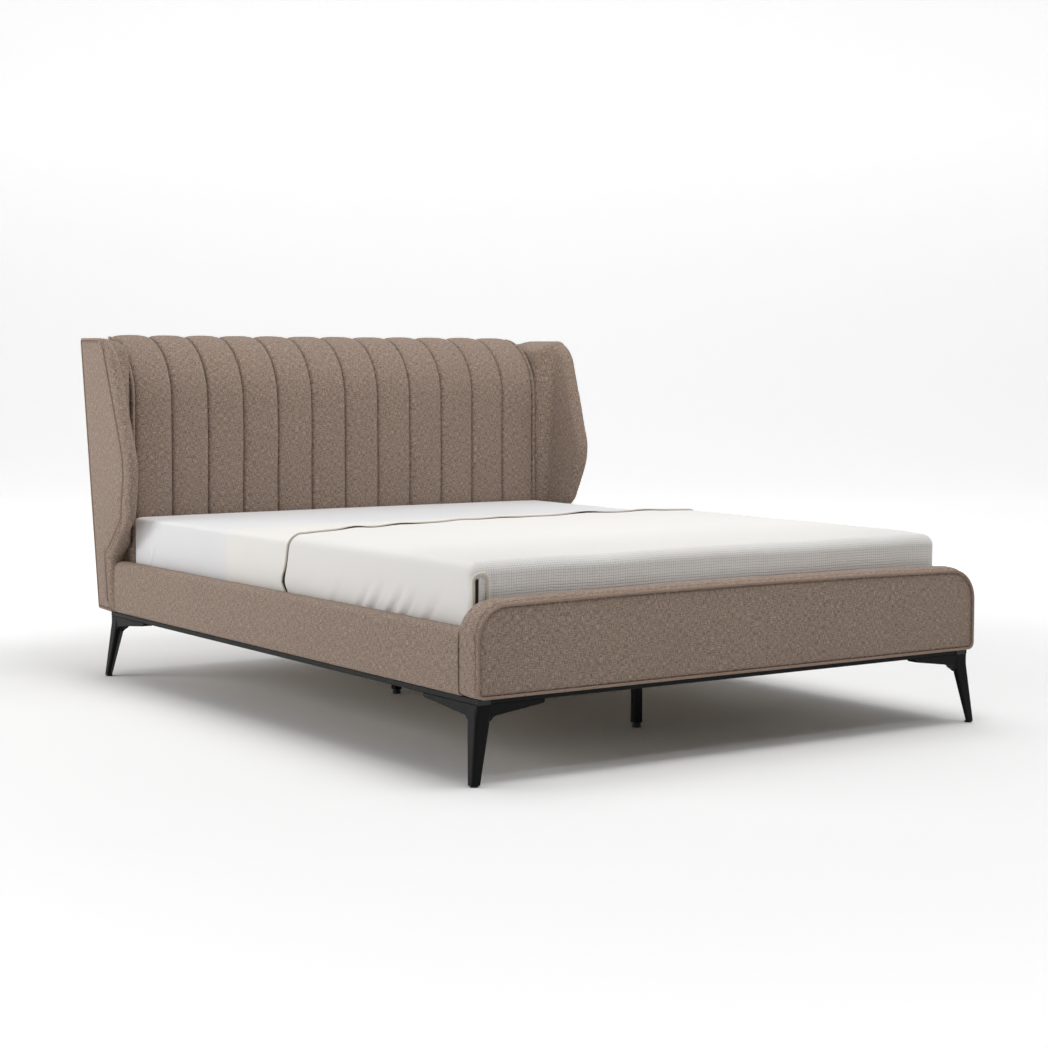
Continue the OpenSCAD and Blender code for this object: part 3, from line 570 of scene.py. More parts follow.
@once
def quilt_waffle():
    """Waffle weave: raised ridges round sunken square cells, with painted shade on the lines
    between them. It shows on the foot wall and the foot edge, fades towards the middle of the
    bed, and is pressed flat on the side walls. The foot wall is painted whiter, a painted
    light. The slit at the left foot corner is painted dark inside, a painted shade."""
    f = Finish("quilt_white", Roughness=0.9, Sheen_Weight=0.1, Specular_IOR_Level=0.15)
    flat = f.cloth_place()
    across = f.parts(flat)[0]
    bend = (f.noise(flat, (9, 9, 1)) - 0.5) * 0.004
    ridge_u, ridge_v = ((part + bend).wave(2 * sizes().waffle_cell).size()
                        for part in f.parts(flat)[:2])
    hollow = ridge_u.at_most(ridge_v).rise(0.12, 0.85)
    x, y, z = f.parts(f.place())
    on_top = (across + QUILT_HALF).rise(-0.01, 0.03) * \
        (1 - (across - QUILT_HALF).rise(-0.03, 0.01))
    at_foot = 1 - y.rise(FRONT + 0.12, FRONT + 0.70)
    strong = (at_foot * 0.90 + 0.06) * on_top
    foot_wall_light = (1 - y.rise(FRONT + 0.112, FRONT + 0.135)) * (1 - z.rise(0.470, 0.515))
    crease = f.noise(flat, (16, 16, 1), 3, 0.5, 0.4)
    slow = f.noise(flat, (4, 4, 1))
    tint = colours().quilt
    # Painted light: the quilt's foot wall is painted whiter.
    body = f.blend(foot_wall_light * 0.85, tint, FOOT_WALL_PAINTED_LIGHT)
    # Painted shade: the lines between the waffle cells are darker, most near the foot.
    body = f.blend((1 - hollow) * strong * 0.38, body, shade(tint, 0.60))
    body = f.blend((slow - 0.3) * 0.3, body, shade(tint, 0.96))
    # Painted shade: the inside of the slit at the left foot corner is painted dark.
    inside = x.rise(SLIT_X[0] - 0.001, SLIT_X[0]) * (1 - x.rise(SLIT_X[1], SLIT_X[1] + 0.001))
    inside = inside * y.rise(FRONT + QUILT_FRONT - 0.01, FRONT + QUILT_FRONT - 0.008) * \
        (1 - y.rise(FRONT + 0.14, FRONT + 0.15)) * (1 - z.rise(SLIT_TOP - 0.004, SLIT_TOP + 0.002))
    body = f.blend(inside, body, SLIT_PAINTED_SHADE)
    normal = f.bump(hollow * strong, 0.0013, 0.8, f.bump(crease, 0.004, 0.3))
    return f.done(Base_Color=body, Normal=normal)


@once
def ticking_quilted():
    """Knitted mattress cover quilted in soft diamonds about 60 mm across, with a dark grip
    cloth on its underside."""
    tint = colours().ticking
    f = Finish("mattress_ticking")
    flat = f.cloth_place()
    u, v = f.parts(flat)[:2]
    puff = (u + v).wave(0.12).size().at_most((u - v).wave(0.12).size()).rise(0.0, 0.5)
    knit = f.noise(flat, (500, 500, 1))
    # Painted shade: the cover is darker along the sunken lines between the quilted diamonds.
    body = f.blend((1 - puff) * 0.5, tint, shade(tint, 0.78))
    under = 1 - f.parts(f.place())[2].rise(MATTRESS_BOTTOM + 0.004, MATTRESS_BOTTOM + 0.008)
    body = f.blend(under, body, f.blend(knit, linear("242425"), linear("333334")))
    normal = f.bump(puff + knit * 0.05, 0.004, 0.8)
    return f.done(Base_Color=body, Roughness=0.85, Normal=normal, Sheen_Weight=0.1)


@once
def powder_coat(kind):
    """Black powder coat: an orange-peel skin, coarser on the castings, a little duller in
    patches, and paler where dust lies."""
    peel_scale, dullness, relief = (420, 0.40, 0.0004) if kind == "steel" else \
        (260, 0.44, 0.0009)
    tint = colours().steel
    f = Finish(f"black_{kind}", Specular_IOR_Level=0.16)
    at = f.place()
    peel = f.noise(at, peel_scale, 3)
    patch = f.noise(at, 9, 3)
    dust = f.noise(at, 60, 4, 0.65).rise(0.58, 0.80)
    body = f.blend(patch * 0.5, tint, shade(tint, 1.5))
    body = f.blend(dust * 0.05, body, linear("4a4a49"))
    return f.done(Base_Color=body, Roughness=patch * 0.14 + dullness + dust * 0.08,
                  Normal=f.bump(peel, relief, 0.45))


@once
def bolt_steel():
    """Blackened zinc bolts with turning marks round their heads."""
    f = Finish("bolts", Metallic=1.0)
    at = f.place()
    turn = f.noise(at, (1200, 1200, 300))
    worn = f.noise(at, 220, 3)
    body = f.blend(worn.rise(0.45, 0.7), linear("3a3a3c"), linear("6b6b6d"))
    return f.done(Base_Color=body, Roughness=worn * 0.2 + 0.3, Normal=f.bump(turn, 0.0003, 0.5))


@once
def nylon():
    """Black moulded nylon with a fine spark texture."""
    f = Finish("black_plastic")
    at = f.place()
    grit = f.noise(at, 1500)
    patch = f.noise(at, 25, 3)
    body = f.blend(patch, linear("17181a"), linear("26272a"))
    return f.done(Base_Color=body, Roughness=patch * 0.12 + 0.52,
                  Normal=f.bump(grit, 0.0003, 0.6))


@once
def wood(kind, axis):
    """Sawn wood with its grain along the given axis: growth lines are stretched noise bent by
    a slower noise, with fine dark pores."""
    tint, depth = (colours().birch, 0.28) if kind == "birch" else (colours().pine, 0.55)
    f = Finish(f"{kind}_{axis}")
    at = f.place()
    sway = f.noise(at, 3.0)
    lines = f.noise(at, tuple(1.6 if a == axis else 46.0 for a in "xyz"), 5, 0.62, 0.9)
    rings = (lines * 9.0 + sway * 3.0).wave(2) * 0.5 + 0.5
    pores = f.noise(at, tuple(9.0 if a == axis else 620.0 for a in "xyz")).rise(0.55, 0.75)
    body = f.blend(rings * depth, tint, shade(tint, 0.66))
    body = f.blend(pores * 0.25, body, shade(tint, 0.5))
    return f.done(Base_Color=body, Roughness=rings * 0.12 + 0.55,
                  Normal=f.bump(rings * 0.5 + pores, 0.0005, 0.6))


@once
def plywood():
    """Birch plywood: pale faces with lazy growth lines, and thin dark glue lines between its
    layers in the edges."""
    f = Finish("plywood")
    at = f.place()
    tint = linear("cfae80")
    lines = f.noise(at, (7, 12, 2.2), 5, 0.6, 1.4)
    rings = (lines * 22.0).sine() * 0.5 + 0.5
    x, y = f.parts(at)[:2]
    plies = (x + y).wave(0.0036).rise(0.4, 0.9)
    body = f.blend(rings * 0.22, tint, shade(tint, 0.72))
    body = f.blend(plies * 0.20, body, shade(tint, 0.45))
    return f.done(Base_Color=body, Roughness=rings * 0.1 + 0.62,
                  Normal=f.bump(rings, 0.0004, 0.4))


@once
def studio_white():
    """Matt white floor and backdrop. Away from the bed it glows a little: painted light that
    stands in for the light on a lit paper sweep."""
    f = Finish("studio", Roughness=0.9, Emission_Strength=1.0)
    at = f.place()
    slow = f.noise(at, 0.35)
    tint = colours().floor
    x, y = f.parts(at)[:2]
    # Painted light: the glow grows with distance from the bed, so the floor near it keeps its shade.
    far = ((x * x + y * y) ** 0.5).rise(1.3, 4.6)
    return f.done(Base_Color=f.blend(slow * 0.5, tint, shade(tint, 0.985)),
                  Emission_Color=f.blend(far, (0, 0, 0), (BACKDROP_GLOW,) * 3))


# Headboard

HEAD_LOW = 0.307
CUSHION_DEEP, STRIP_DEEP = 0.027, 0.055
SEAM_DEEP, SEAM_WIDE = 0.0100, 0.0028
# The side strips of the cushion: how far out they stand and how far they turn back.
STRIP_OUT = np.array([0.0015, 0.004, 0.007, 0.010, 0.0115, 0.012, 0.012, 0.012, 0.012, 0.012])
STRIP_LIFT = np.array([0.0005, 0.0035, 0.0040, 0.0025, 0.0000, -0.004, -0.014, -0.027, -0.040,
                       -0.055])


def padding(name, grids, node, sharp):
    """A piece in the upholstery cloth that takes the place of a foam solid."""
    return make(name, grids, upholstery(), replaces=(node,), sharp=sharp)


def head_path():
    """The section of the headboard's face from its lower edge to the back of its roll: Y, Z,
    their unit normals and the distance run. A straight face, then an arc about the roll's
    axis."""
    s = sizes()
    axis_y = HEAD_FACE_Y + s.roll_radius
    end = math.acos((axis_y - BED_LEN) / s.roll_radius)
    face = places(HEAD_LOW, s.roll_height, 0.018)
    arc = np.linspace(0, end, int(s.roll_radius * end / 0.012) + 1)[1:]
    y = np.concatenate([np.full(len(face), HEAD_FACE_Y), axis_y - s.roll_radius * np.cos(arc)])
    z = np.concatenate([face, s.roll_height + s.roll_radius * np.sin(arc)])
    ny = np.concatenate([np.full(len(face), -1.0), -np.cos(arc)])
    nz = np.concatenate([np.zeros(len(face)), np.sin(arc)])
    run = np.concatenate([face - HEAD_LOW, s.roll_height - HEAD_LOW + s.roll_radius * arc])
    return y, z, ny, nz, run


def headboard_channels():
    """Upright sewn channels. Across a channel the padding stands crown * (1 - |t|^2.8)^0.7
    past its seams, t being -1 to 1 from seam to seam, less a narrow groove of 10 mm *
    exp(-distance / 2.8 mm) at each seam. The section is carried up the face and over the
    roll, where it flattens by a quarter, and its side strips turn back beside the skin. Cloth
    draws into small puckers beside each seam."""
    s = sizes()
    y, z, ny, nz, run = (part[:, None] for part in head_path())
    half = s.channel_pitch * s.channel_count / 2
    part = np.linspace(-1, 1, 27)
    t = (np.sign(part) * (1 - (1 - np.abs(part)) ** 2.1))[:-1]
    first = -half + s.channel_pitch * np.arange(s.channel_count)
    x = np.append((first[:, None] + (t + 1) / 2 * s.channel_pitch).ravel(), half)
    local = np.append(np.tile(t, s.channel_count), -1.0)
    number = np.append(np.repeat(np.arange(s.channel_count), len(t)), s.channel_count - 1)
    cols_x = np.concatenate([-half - STRIP_OUT[::-1], x, half + STRIP_OUT])

    def with_sides(middle, sides=0 * STRIP_OUT):
        return np.concatenate([sides[::-1], middle, sides])

    to_seam = (1 - np.abs(local)) * s.channel_pitch / 2
    swell = s.channel_crown * np.clip(1 - np.abs(local) ** 2.8, 0, 1) ** 0.7
    rng = np.random.default_rng(5)
    swell = swell * (1 + rng.uniform(-0.05, 0.05, s.channel_count + 1)[number])
    swell = swell - SEAM_DEEP * np.exp(-to_seam / SEAM_WIDE)
    lift = with_sides(swell, STRIP_LIFT)[None]
    near = with_sides(np.exp(-(1 - np.abs(local)) / 0.10) * (np.abs(local) < 1))
    inside = with_sides(1 - local ** 2)
    X = np.broadcast_to(cols_x[None], (len(y), len(cols_x)))
    U = np.broadcast_to(run, X.shape)
    pucker = near * (0.5 * ripple(X * 3, U, 0.030, 11) + 0.5 * ripple(X * 3, U, 0.017, 12))
    soft = inside * ripple(X, U * 0.6, 0.22, 13)
    full = 1 - 0.25 * step_up(z - s.roll_height, 0.05, 0.17)
    out = np.where(lift > 0, lift * full, lift) + 0.0009 * pucker + 0.0008 * soft
    wander = 0.0016 * ripple(X * 0.4, U, 0.35, 17) * (inside < 0.35)
    front = np.stack([X + wander, y + ny * out, z + nz * out], -1)
    depth = np.full(len(cols_x), CUSHION_DEEP)
    depth[[0, -1]] = STRIP_DEEP
    back = np.stack([X, y - ny * depth, z - nz * depth], -1)
    uv = plain_uv(X, U)
    ends = [np.stack([front[i], back[i]]) for i in (0, -1)]
    flanks = [np.stack([front[:, i], back[:, i]]) for i in (0, -1)]
    grids = [(front, uv), (back, uv)] \
        + [(grid, plain_uv(grid[..., 0], grid[..., 1] + grid[..., 2])) for grid in ends] \
        + [facing(grid, 1, 2) for grid in flanks]
    piece = padding("headboard_channel_padding", grids, "headboard_channels", 80)


def headboard_back():
    """The cover of the headboard's back: a flat cloth panel that bows out a little between
    its edges and wraps round them."""
    low, high = (np.array(corner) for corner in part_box("headboard_back"))
    high[2] = sizes().roll_height + sizes().roll_radius - 0.012
    x, z = (places(low[k], high[k], 0.03, (low[k], high[k]), 0.002, 0.012) for k in (0, 2))
    X, Z = np.meshgrid(x, z)
    edge = np.minimum.reduce([X - low[0], high[0] - X, Z - low[2], high[2] - Z])
    out = 0.003 * (1 - np.exp(-edge / 0.006)) + 0.0006 * ripple(X, Z, 0.3, 21)
    back = np.stack([X, high[1] - FRONT - 0.003 + np.where(edge > 1e-6, out, 0), Z], -1)
    inner = np.stack([X, np.full_like(X, low[1] - FRONT), Z], -1)
    rims = [np.stack([back[i], inner[i]]) for i in (0, -1)] \
        + [np.stack([back[:, i], inner[:, i]]) for i in (0, -1)]
    grids = [facing(back, 0, 2), facing(inner, 0, 2)] + [blank(rim) for rim in rims]
    piece = padding("headboard_back_cover", grids, "headboard_back", 50)


# Wings

WING_X = 0.834
LEAN, SPLAY = math.radians(3.3), math.radians(4.75)
WING_THICK, WING_SETBACK = 0.040, 0.034
PADDING_IN = 0.005
STITCHES_AT, STITCH_PITCH, THREAD_THICK = 0.012, 0.0058, 0.0006
# Corners of a wing in side view: reach forward from the bed's back, height above the underside.
WING_CORNERS = [(0, 0), (0.136, 0), (0.136, 0.182), (0.322, 0.318), (0.387, 0.494),
                (0.248, 0.889), (0, 0.889)]
WING_RADII = [0.008, 0.008, 0.040, 0.090, 0.200, 0.110, 0.014]
# The line up a wing's middle: heights, and the reach forward at each.
WING_SPINE = ([0.070, 0.182, 0.330, 0.494, 0.700, 0.800],
              [0.068, 0.070, 0.120, 0.190, 0.160, 0.115])


def on_wing(side, flat, depth):
    """A place on a wing as X, Y, Z. flat holds its reach forward from the bed's back and its
    height above the underside; depth is how far in it is from the outer face, which leans
    and splays outward."""
    x, y, z = -depth, -flat[..., 0], flat[..., 1]
    x, y = x * np.cos(SPLAY) - y * np.sin(SPLAY), x * np.sin(SPLAY) + y * np.cos(SPLAY)
    x, z = x * np.cos(LEAN) + z * np.sin(LEAN), -x * np.sin(LEAN) + z * np.cos(LEAN)
    return np.stack([side * (WING_X + x), BED_LEN + y, UNDERSIDE + z], -1)


def wing_room(y, outer_x):
    """Thickness of a wing at Y: its inner face is upright beside the headboard, and from
    12 mm behind the headboard's face to 30 mm in front of it swings out to run 40 mm inside
    the outer face."""
    ahead = step_up(HEAD_FACE_Y - y, -0.012, 0.030)
    return (outer_x - (WING_X - 0.041)) * (1 - ahead) + WING_THICK * ahead


def wing_outline(count=460):
    """A wing seen from the side: reach forward and height above the underside."""
    return rounded(WING_CORNERS, WING_RADII, count)


def wing_seam(line):
    """The seam between a wing's outer panel and its padded border: the outline, drawn back
    by up to 34 mm where it faces forward."""
    normal = outward(line)
    return line - normal * WING_SETBACK * step_up(normal[:, :1], 0.15, 0.95)


def wing_core(line):
    """The line up the middle of a wing that its faces close on."""
    high = np.clip(line[:, 1], WING_SPINE[0][0], WING_SPINE[0][-1])
    return np.stack([np.interp(high, *WING_SPINE), high], -1)


def wing_border(side, line):
    """The padded border of a wing, drawn as a right one: its places, its outline in side view,
    the distance from the seam and the outward normals. As a runs from 0 at the seam to 180
    degrees at the inner face the outline grows by swell * sin(a)^0.9 - tuck * (a / 180)^2 -
    2 mm, less the seam's setback * (1 - sin(a)) up to 90 degrees. swell is 4 mm, and all of
    the roll's where the edge faces forward; tuck is 13 mm, and 47 mm along the top. Where the
    seam is set back, the cloth also stands up to 5.5 mm proud of it. The row of stitches
    draws a groove of 3 mm."""
    normal = outward(line)
    back_by = np.linalg.norm(wing_seam(line) - line, axis=1)[None]
    a = np.sort(np.concatenate([np.linspace(0, np.pi, 26), np.arange(0.03, 1.25, 0.035)]))[:, None]
    share = (1 - np.cos(a)) / 2
    tuck = 0.013 + 0.034 * np.clip(normal[None, :, 1], 0, 1)
    ahead = np.clip(normal[None, :, 0], 0, 1)
    swell = 0.004 + (sizes().roll_swell - 0.004) * ahead
    grow = -0.002 - tuck * (a / np.pi) ** 2 + swell * np.sin(a) ** 0.9
    grow = grow - back_by * (1 - np.sin(np.minimum(a, np.pi / 2)))
    flat = line[None] + normal[None] * grow[..., None]
    proud = 0.0055 * (1 - np.exp(-a / 0.10)) * (1 - share) * back_by / WING_SETBACK
    roll = on_wing(1, flat, PADDING_IN - proud)
    roll[..., 0] -= share * wing_room(roll[..., 1], roll[..., 0])
    step = np.linalg.norm(np.diff(roll, axis=0), axis=-1)
    run = np.concatenate([np.zeros((1, len(line))), np.cumsum(step, axis=0)])
    face = np.cross(np.gradient(roll, axis=0), np.gradient(roll, axis=1))
    face /= np.maximum(np.linalg.norm(face, axis=-1), 1e-12)[..., None]
    out = np.stack([0 * normal[:, 0], -normal[:, 0], normal[:, 1]], -1)
    face *= np.sign((face * out).sum(-1).mean())
    around = np.broadcast_to(run_of(line)[None], run.shape)
    groove = 0.0030 * np.exp(-((run - STITCHES_AT) / 0.0026) ** 2)
    bump = np.sin(a) * (0.0008 * ripple(around, run, 0.12, 31 + side)
                        + 0.0006 * ripple(around, run * 0.3, 0.030, 33 + side))
    return roll + face * (bump - groove)[..., None], flat, run, face


def wing_sewn_line(side, roll, run, face):
    """Where the row of stitches lies beside each point of the outline, and its outward
    normals."""
    row = np.clip((run < STITCHES_AT).sum(0), 1, len(run) - 1)
    column = np.arange(run.shape[1])
    past = run[row - 1, column]
    part = ((STITCHES_AT - past) / (run[row, column] - past))[:, None]
    sewn_at = roll[row - 1, column] * (1 - part) + roll[row, column] * part
    return sewn_at * [side, 1, 1], face[row, column] * [side, 1, 1]


def wing_pad(side):
    """The padded wing with its row of stitches: the border, an inner face that closes on a
    line up its middle and rises 3.5 mm towards it, and a hidden face under the outer
    panel."""
    line = wing_outline()
    roll, flat, run, face = wing_border(side, line)
    sewn_at, sewn_out = wing_sewn_line(side, roll, run, face)
    core = wing_core(flat[-1])
    rows = np.linspace(0, 1, 16)
    cap_flat = closing(flat[-1], core, rows)
    cap = on_wing(1, cap_flat, PADDING_IN)
    crowned = 0.0035 * (1 - (1 - rows[:, None]) ** 2)
    cap[..., 0] -= wing_room(cap[..., 1], cap[..., 0]) + crowned
    under_flat = closing(flat[0], core, rows)
    under = on_wing(1, under_flat, PADDING_IN + 0.002)
    under[0] = roll[0]
    for grid in (roll, cap, under):
        grid[..., 1] = np.minimum(grid[..., 1], BED_LEN)
        grid[..., 2] = np.maximum(grid[..., 2], UNDERSIDE)
        grid[..., 0] *= side
    along_it = np.broadcast_to(run_of(line)[None], run.shape)
    piece = padding(f"wing_padding_{SIDES[side]}",
                    [(roll, plain_uv(run, along_it)), (cap, cap_flat), (under, under_flat)],
                    f"wing_pad_{SIDES[side]}", 75)
    # No stitches show along the back edge and the underside, nor beside the side rail.
    shown = (line[:, 0] > 0.03) & (line[:, 1] > 0.03)
    shown[:-1] &= ~((line[:-1, 0] < 0.14) & (line[:-1, 1] < 0.2))
    order = np.roll(np.arange(len(line) - 1), 0 if shown[0] else -int(np.argmin(shown)))
    order = order[shown[order]]
    make(f"wing_stitches_{SIDES[side]}",
         stitch_row(sewn_at[order], sewn_out[order], STITCH_PITCH, THREAD_THICK),
         sewing_thread(), sharp=30)


def wing_panel(side):
    """The wing's outer panel: its cloth leaves the piping steeply and levels off, rise * (1 -
    exp(-distance / 6 mm)), over a soft wave."""
    line = wing_outline()
    edge = wing_seam(line) - outward(line) * 0.0085
    flat = closing(edge, wing_core(edge), np.linspace(0, 1, 34) ** 1.9)
    far = np.linalg.norm(flat - edge[None], axis=-1)
    rise = 0.0070 * (1 - np.exp(-far / 0.006))
    wave = 0.0007 * ripple(flat[..., 0], flat[..., 1], 0.25, 41 + side)
    face = on_wing(side, flat, 0.0068 - rise - wave * step_up(far, 0, 0.03))
    back = on_wing(side, flat, 0.0105)
    rim = np.stack([face[0], back[0]])
    for grid in (face, back, rim):
        grid[..., 1] = np.minimum(grid[..., 1], BED_LEN)
    piece = padding(f"wing_outer_panel_{SIDES[side]}",
                    [(face, flat), (back, flat), facing(rim, 1, 2)],
                    f"wing_panel_{SIDES[side]}", 80)


def wing_piping(side):
    """Cord piping along the seam between the wing's outer panel and its padded border. It
    lies 2 mm deeper along the back edge and the underside."""
    radius = sizes().piping_radius
    line = wing_outline(360)
    plain = 1 - step_up(np.minimum(line[:, 0], line[:, 1]), 0.004, 0.03)
    path = on_wing(side, wing_seam(line) - outward(line) * 0.0040, 0.0028 + 0.002 * plain)
    path[:, 1] = np.minimum(path[:, 1], BED_LEN - radius)
    make(f"wing_piping_cord_{SIDES[side]}", [tube(path, radius, 12, up=(1, 0, 0))],
         piping_cloth(), replaces=(f"wing_piping_{SIDES[side]}",))


# Footboard

# Y of the seam in front and of the back face; corners of the outline seen from the front.
FOOT_SEAM, FOOT_THICK = 0.006, 0.095
FOOT_CORNERS = [(-RAIL_X, UNDERSIDE), (RAIL_X, UNDERSIDE), (RAIL_X, 0.442),
                (RAIL_X / 2, 0.449), (0, 0.451), (-RAIL_X / 2, 0.449), (-RAIL_X, 0.442)]
FOOT_RADII = [0.020, 0.020, 0.088, 3.0, 3.0, 3.0, 0.088]


def foot_outline(count=520):
    """The footboard seen from the front: a long slab with small lower corners, large upper
    ones and a slightly arched top."""
    return rounded(FOOT_CORNERS, FOOT_RADII, count)


def foot_core(flat):
    """The line that the footboard's faces close on, along its middle."""
    return np.stack([np.clip(flat[..., 0], -0.735, 0.735), np.full(flat.shape[:-1], 0.327)], -1)


def upright(flat, y):
    """Places seen from the front, X and Z, carried back to Y."""
    return np.stack(np.broadcast_arrays(flat[..., 0], y, flat[..., 1]), -1)


def footboard_border():
    """The footboard's padded border: the outline carried back from the front seam. As a runs
    from 0 there to 180 degrees at the back it grows by swell * sin(a)^0.7 - 3.5 mm, and up to
    6 mm more along the top. A stitched groove of 2.6 mm runs 8 mm behind the seam."""
    line = foot_outline()
    normal = outward(line)
    a = np.sort(np.concatenate([np.linspace(0, np.pi, 24), np.arange(0.40, 0.90, 0.035)]))[:, None]
    behind = (1 - np.cos(a)) / 2 * (FOOT_THICK - FOOT_SEAM)
    grow = -0.0035 - 0.003 * (a / np.pi) + sizes().footboard_swell * np.sin(a) ** 0.7
    grow = grow - 0.0026 * np.exp(-((behind - 0.008) / 0.0022) ** 2)
    flat = line[None] + normal[None] * grow[..., None]
    U = np.broadcast_to(run_of(line)[None], flat.shape[:2])
    V = np.broadcast_to(FOOT_SEAM + behind, U.shape)
    puff = 0.006 * np.clip(normal[:, 1], 0, 1) * np.sin(a)
    bump = np.sin(a) * (0.0006 * ripple(U, V, 0.16, 51) + 0.0005 * ripple(U, V * 0.4, 0.034, 52))
    flat = flat + normal[None] * (puff + bump)[..., None]
    flat[..., 1] = np.maximum(flat[..., 1], UNDERSIDE)
    share = np.linspace(0, 1, 12)
    back = upright(closing(flat[-1], foot_core(flat[-1]), share), FOOT_THICK)
    inner = upright(closing(flat[0], foot_core(flat[0]), share),
                    FOOT_SEAM + 0.006 * np.clip(share[:, None] * 8, 0, 1))
    piece = padding("footboard_border", [(upright(flat, V), plain_uv(U, V)),
                                         facing(back, 0, 2), facing(inner, 0, 2)],
                    "footboard_pad", 80)


def footboard_panel():
    """The footboard's front panel: it leaves the piping steeply and levels off, rise * (1 -
    exp(-distance / 4 mm)), quicker along the bottom."""
    line = foot_outline()
    normal = outward(line)
    below = 1 - step_up(normal[:, 1], -0.95, -0.4)
    edge = line - normal * (0.0094 - 0.0012 * below)[:, None]
    flat = closing(edge, foot_core(edge), np.linspace(0, 1, 36) ** 2.2)
    far = np.linalg.norm(flat - edge[None], axis=-1)
    rise = 0.0036 * (1 - np.exp(-far / (0.004 - 0.0026 * below[None])))
    wave = 0.0006 * ripple(flat[..., 0], flat[..., 1], 0.3, 55) * step_up(far, 0, 0.04)
    face = upright(flat, 0.0085 - rise - wave)
    hidden = upright(flat, 0.0138)
    rim = np.stack([face[0], hidden[0]])
    piece = padding("footboard_front_panel",
                    [facing(face, 0, 2), facing(hidden, 0, 2), facing(rim, 0, 1)],
                    "footboard_panel", 80)


def footboard_piping():
    """Cord piping round the footboard's front, just inside its outline."""
    radius = sizes().piping_radius
    line = foot_outline(640)
    path = upright(line - outward(line) * 0.0038, 0.0038)
    make("footboard_piping_cord", [tube(path, radius, 12, up=(0, 1, 0))],
         piping_cloth(), replaces=("footboard_piping",))


# Side rails

RAIL_STEP_X, RAIL_STEP_Z = 0.806, 0.320
RAIL_CORNERS = [(RAIL_STEP_X, UNDERSIDE), (RAIL_X, UNDERSIDE), (RAIL_X, RAIL_TOP),
                (RAIL_IN_X, RAIL_TOP), (RAIL_IN_X, RAIL_STEP_Z), (RAIL_STEP_X, RAIL_STEP_Z)]
RAIL_RADII = [0.003, 0.014, 0.017, 0.011, 0.003, 0.002]
RAIL_FRONT_Y = 0.090
# Radii of the rail's rear end: of its top, its lower edge and its outer face.
END_RADII = (0.032, 0.012, 0.014)


def rail_end(y, radius):
    """How far a quarter circle of that radius, at the rail's rear end, has turned in at Y."""
    past = np.clip(y - (RAIL_END_Y - radius), 0, radius)
    return radius - np.sqrt(radius ** 2 - past ** 2)


def rail_cover(side):
    """The side rail's padded cover: one section, rounded outside and lipped over the rail's
    top, carried back from the footboard. Over its last 32 mm the top falls on a quarter circle
    of that radius, the lower edge on one of 12 mm and the outer face on one of 14 mm."""
    line = rounded(RAIL_CORNERS, RAIL_RADII, 110)
    normal = outward(line)
    round_off = 1 - np.sin(np.linspace(0, np.pi / 2, ARC_POINTS))
    y = np.concatenate([np.linspace(RAIL_FRONT_Y, RAIL_END_Y - END_RADII[0] - 0.001, 90),
                        RAIL_END_Y - END_RADII[0] * round_off])
    fall, rise, tuck = (rail_end(y, radius)[:, None] for radius in END_RADII)
    share = (line[:, 1] - UNDERSIDE) / (RAIL_TOP - UNDERSIDE)
    out = (line[:, 0] - RAIL_IN_X) / (RAIL_X - RAIL_IN_X)
    run = run_of(line)
    U = np.broadcast_to(run[None], (len(y), len(run)))
    V = np.broadcast_to(y[:, None], U.shape)
    puff = 0.0016 * np.sin(np.pi * np.clip(share, 0, 1)) * np.clip(normal[:, 0], 0, 1)
    wave = 0.0007 * ripple(U, V, 0.30, 61 + side) + 0.0004 * ripple(U, V, 0.09, 63 + side)
    wave = wave * np.clip(normal[:, 0] + np.clip(normal[:, 1], 0, 1), 0, 1)[None]
    x = line[None, :, 0] + normal[None, :, 0] * (puff + wave) - tuck * out[None]
    z = line[None, :, 1] + normal[None, :, 1] * wave
    z = z - fall * share[None] + rise * (1 - share[None])
    grid = np.stack([side * x, V, np.maximum(z, UNDERSIDE)], -1)
    caps = []
    for end in (grid[0], grid[-1]):
        core = np.stack([np.full(len(end), side * 0.822), end[:, 1],
                         np.clip(end[:, 2], 0.262, 0.330)], -1)
        caps.append(facing(closing(end, core, np.linspace(0, 1, 5)), 0, 2))
    piece = padding(f"rail_cover_{SIDES[side]}", [(grid, plain_uv(V, U))] + caps,
                    f"rail_pad_{SIDES[side]}", 70)


# Mattress and bedding

SHEET_FOLD_Y = 1.995
BLANKET_BACK = 1.472
FAR_AWAY = 10.0


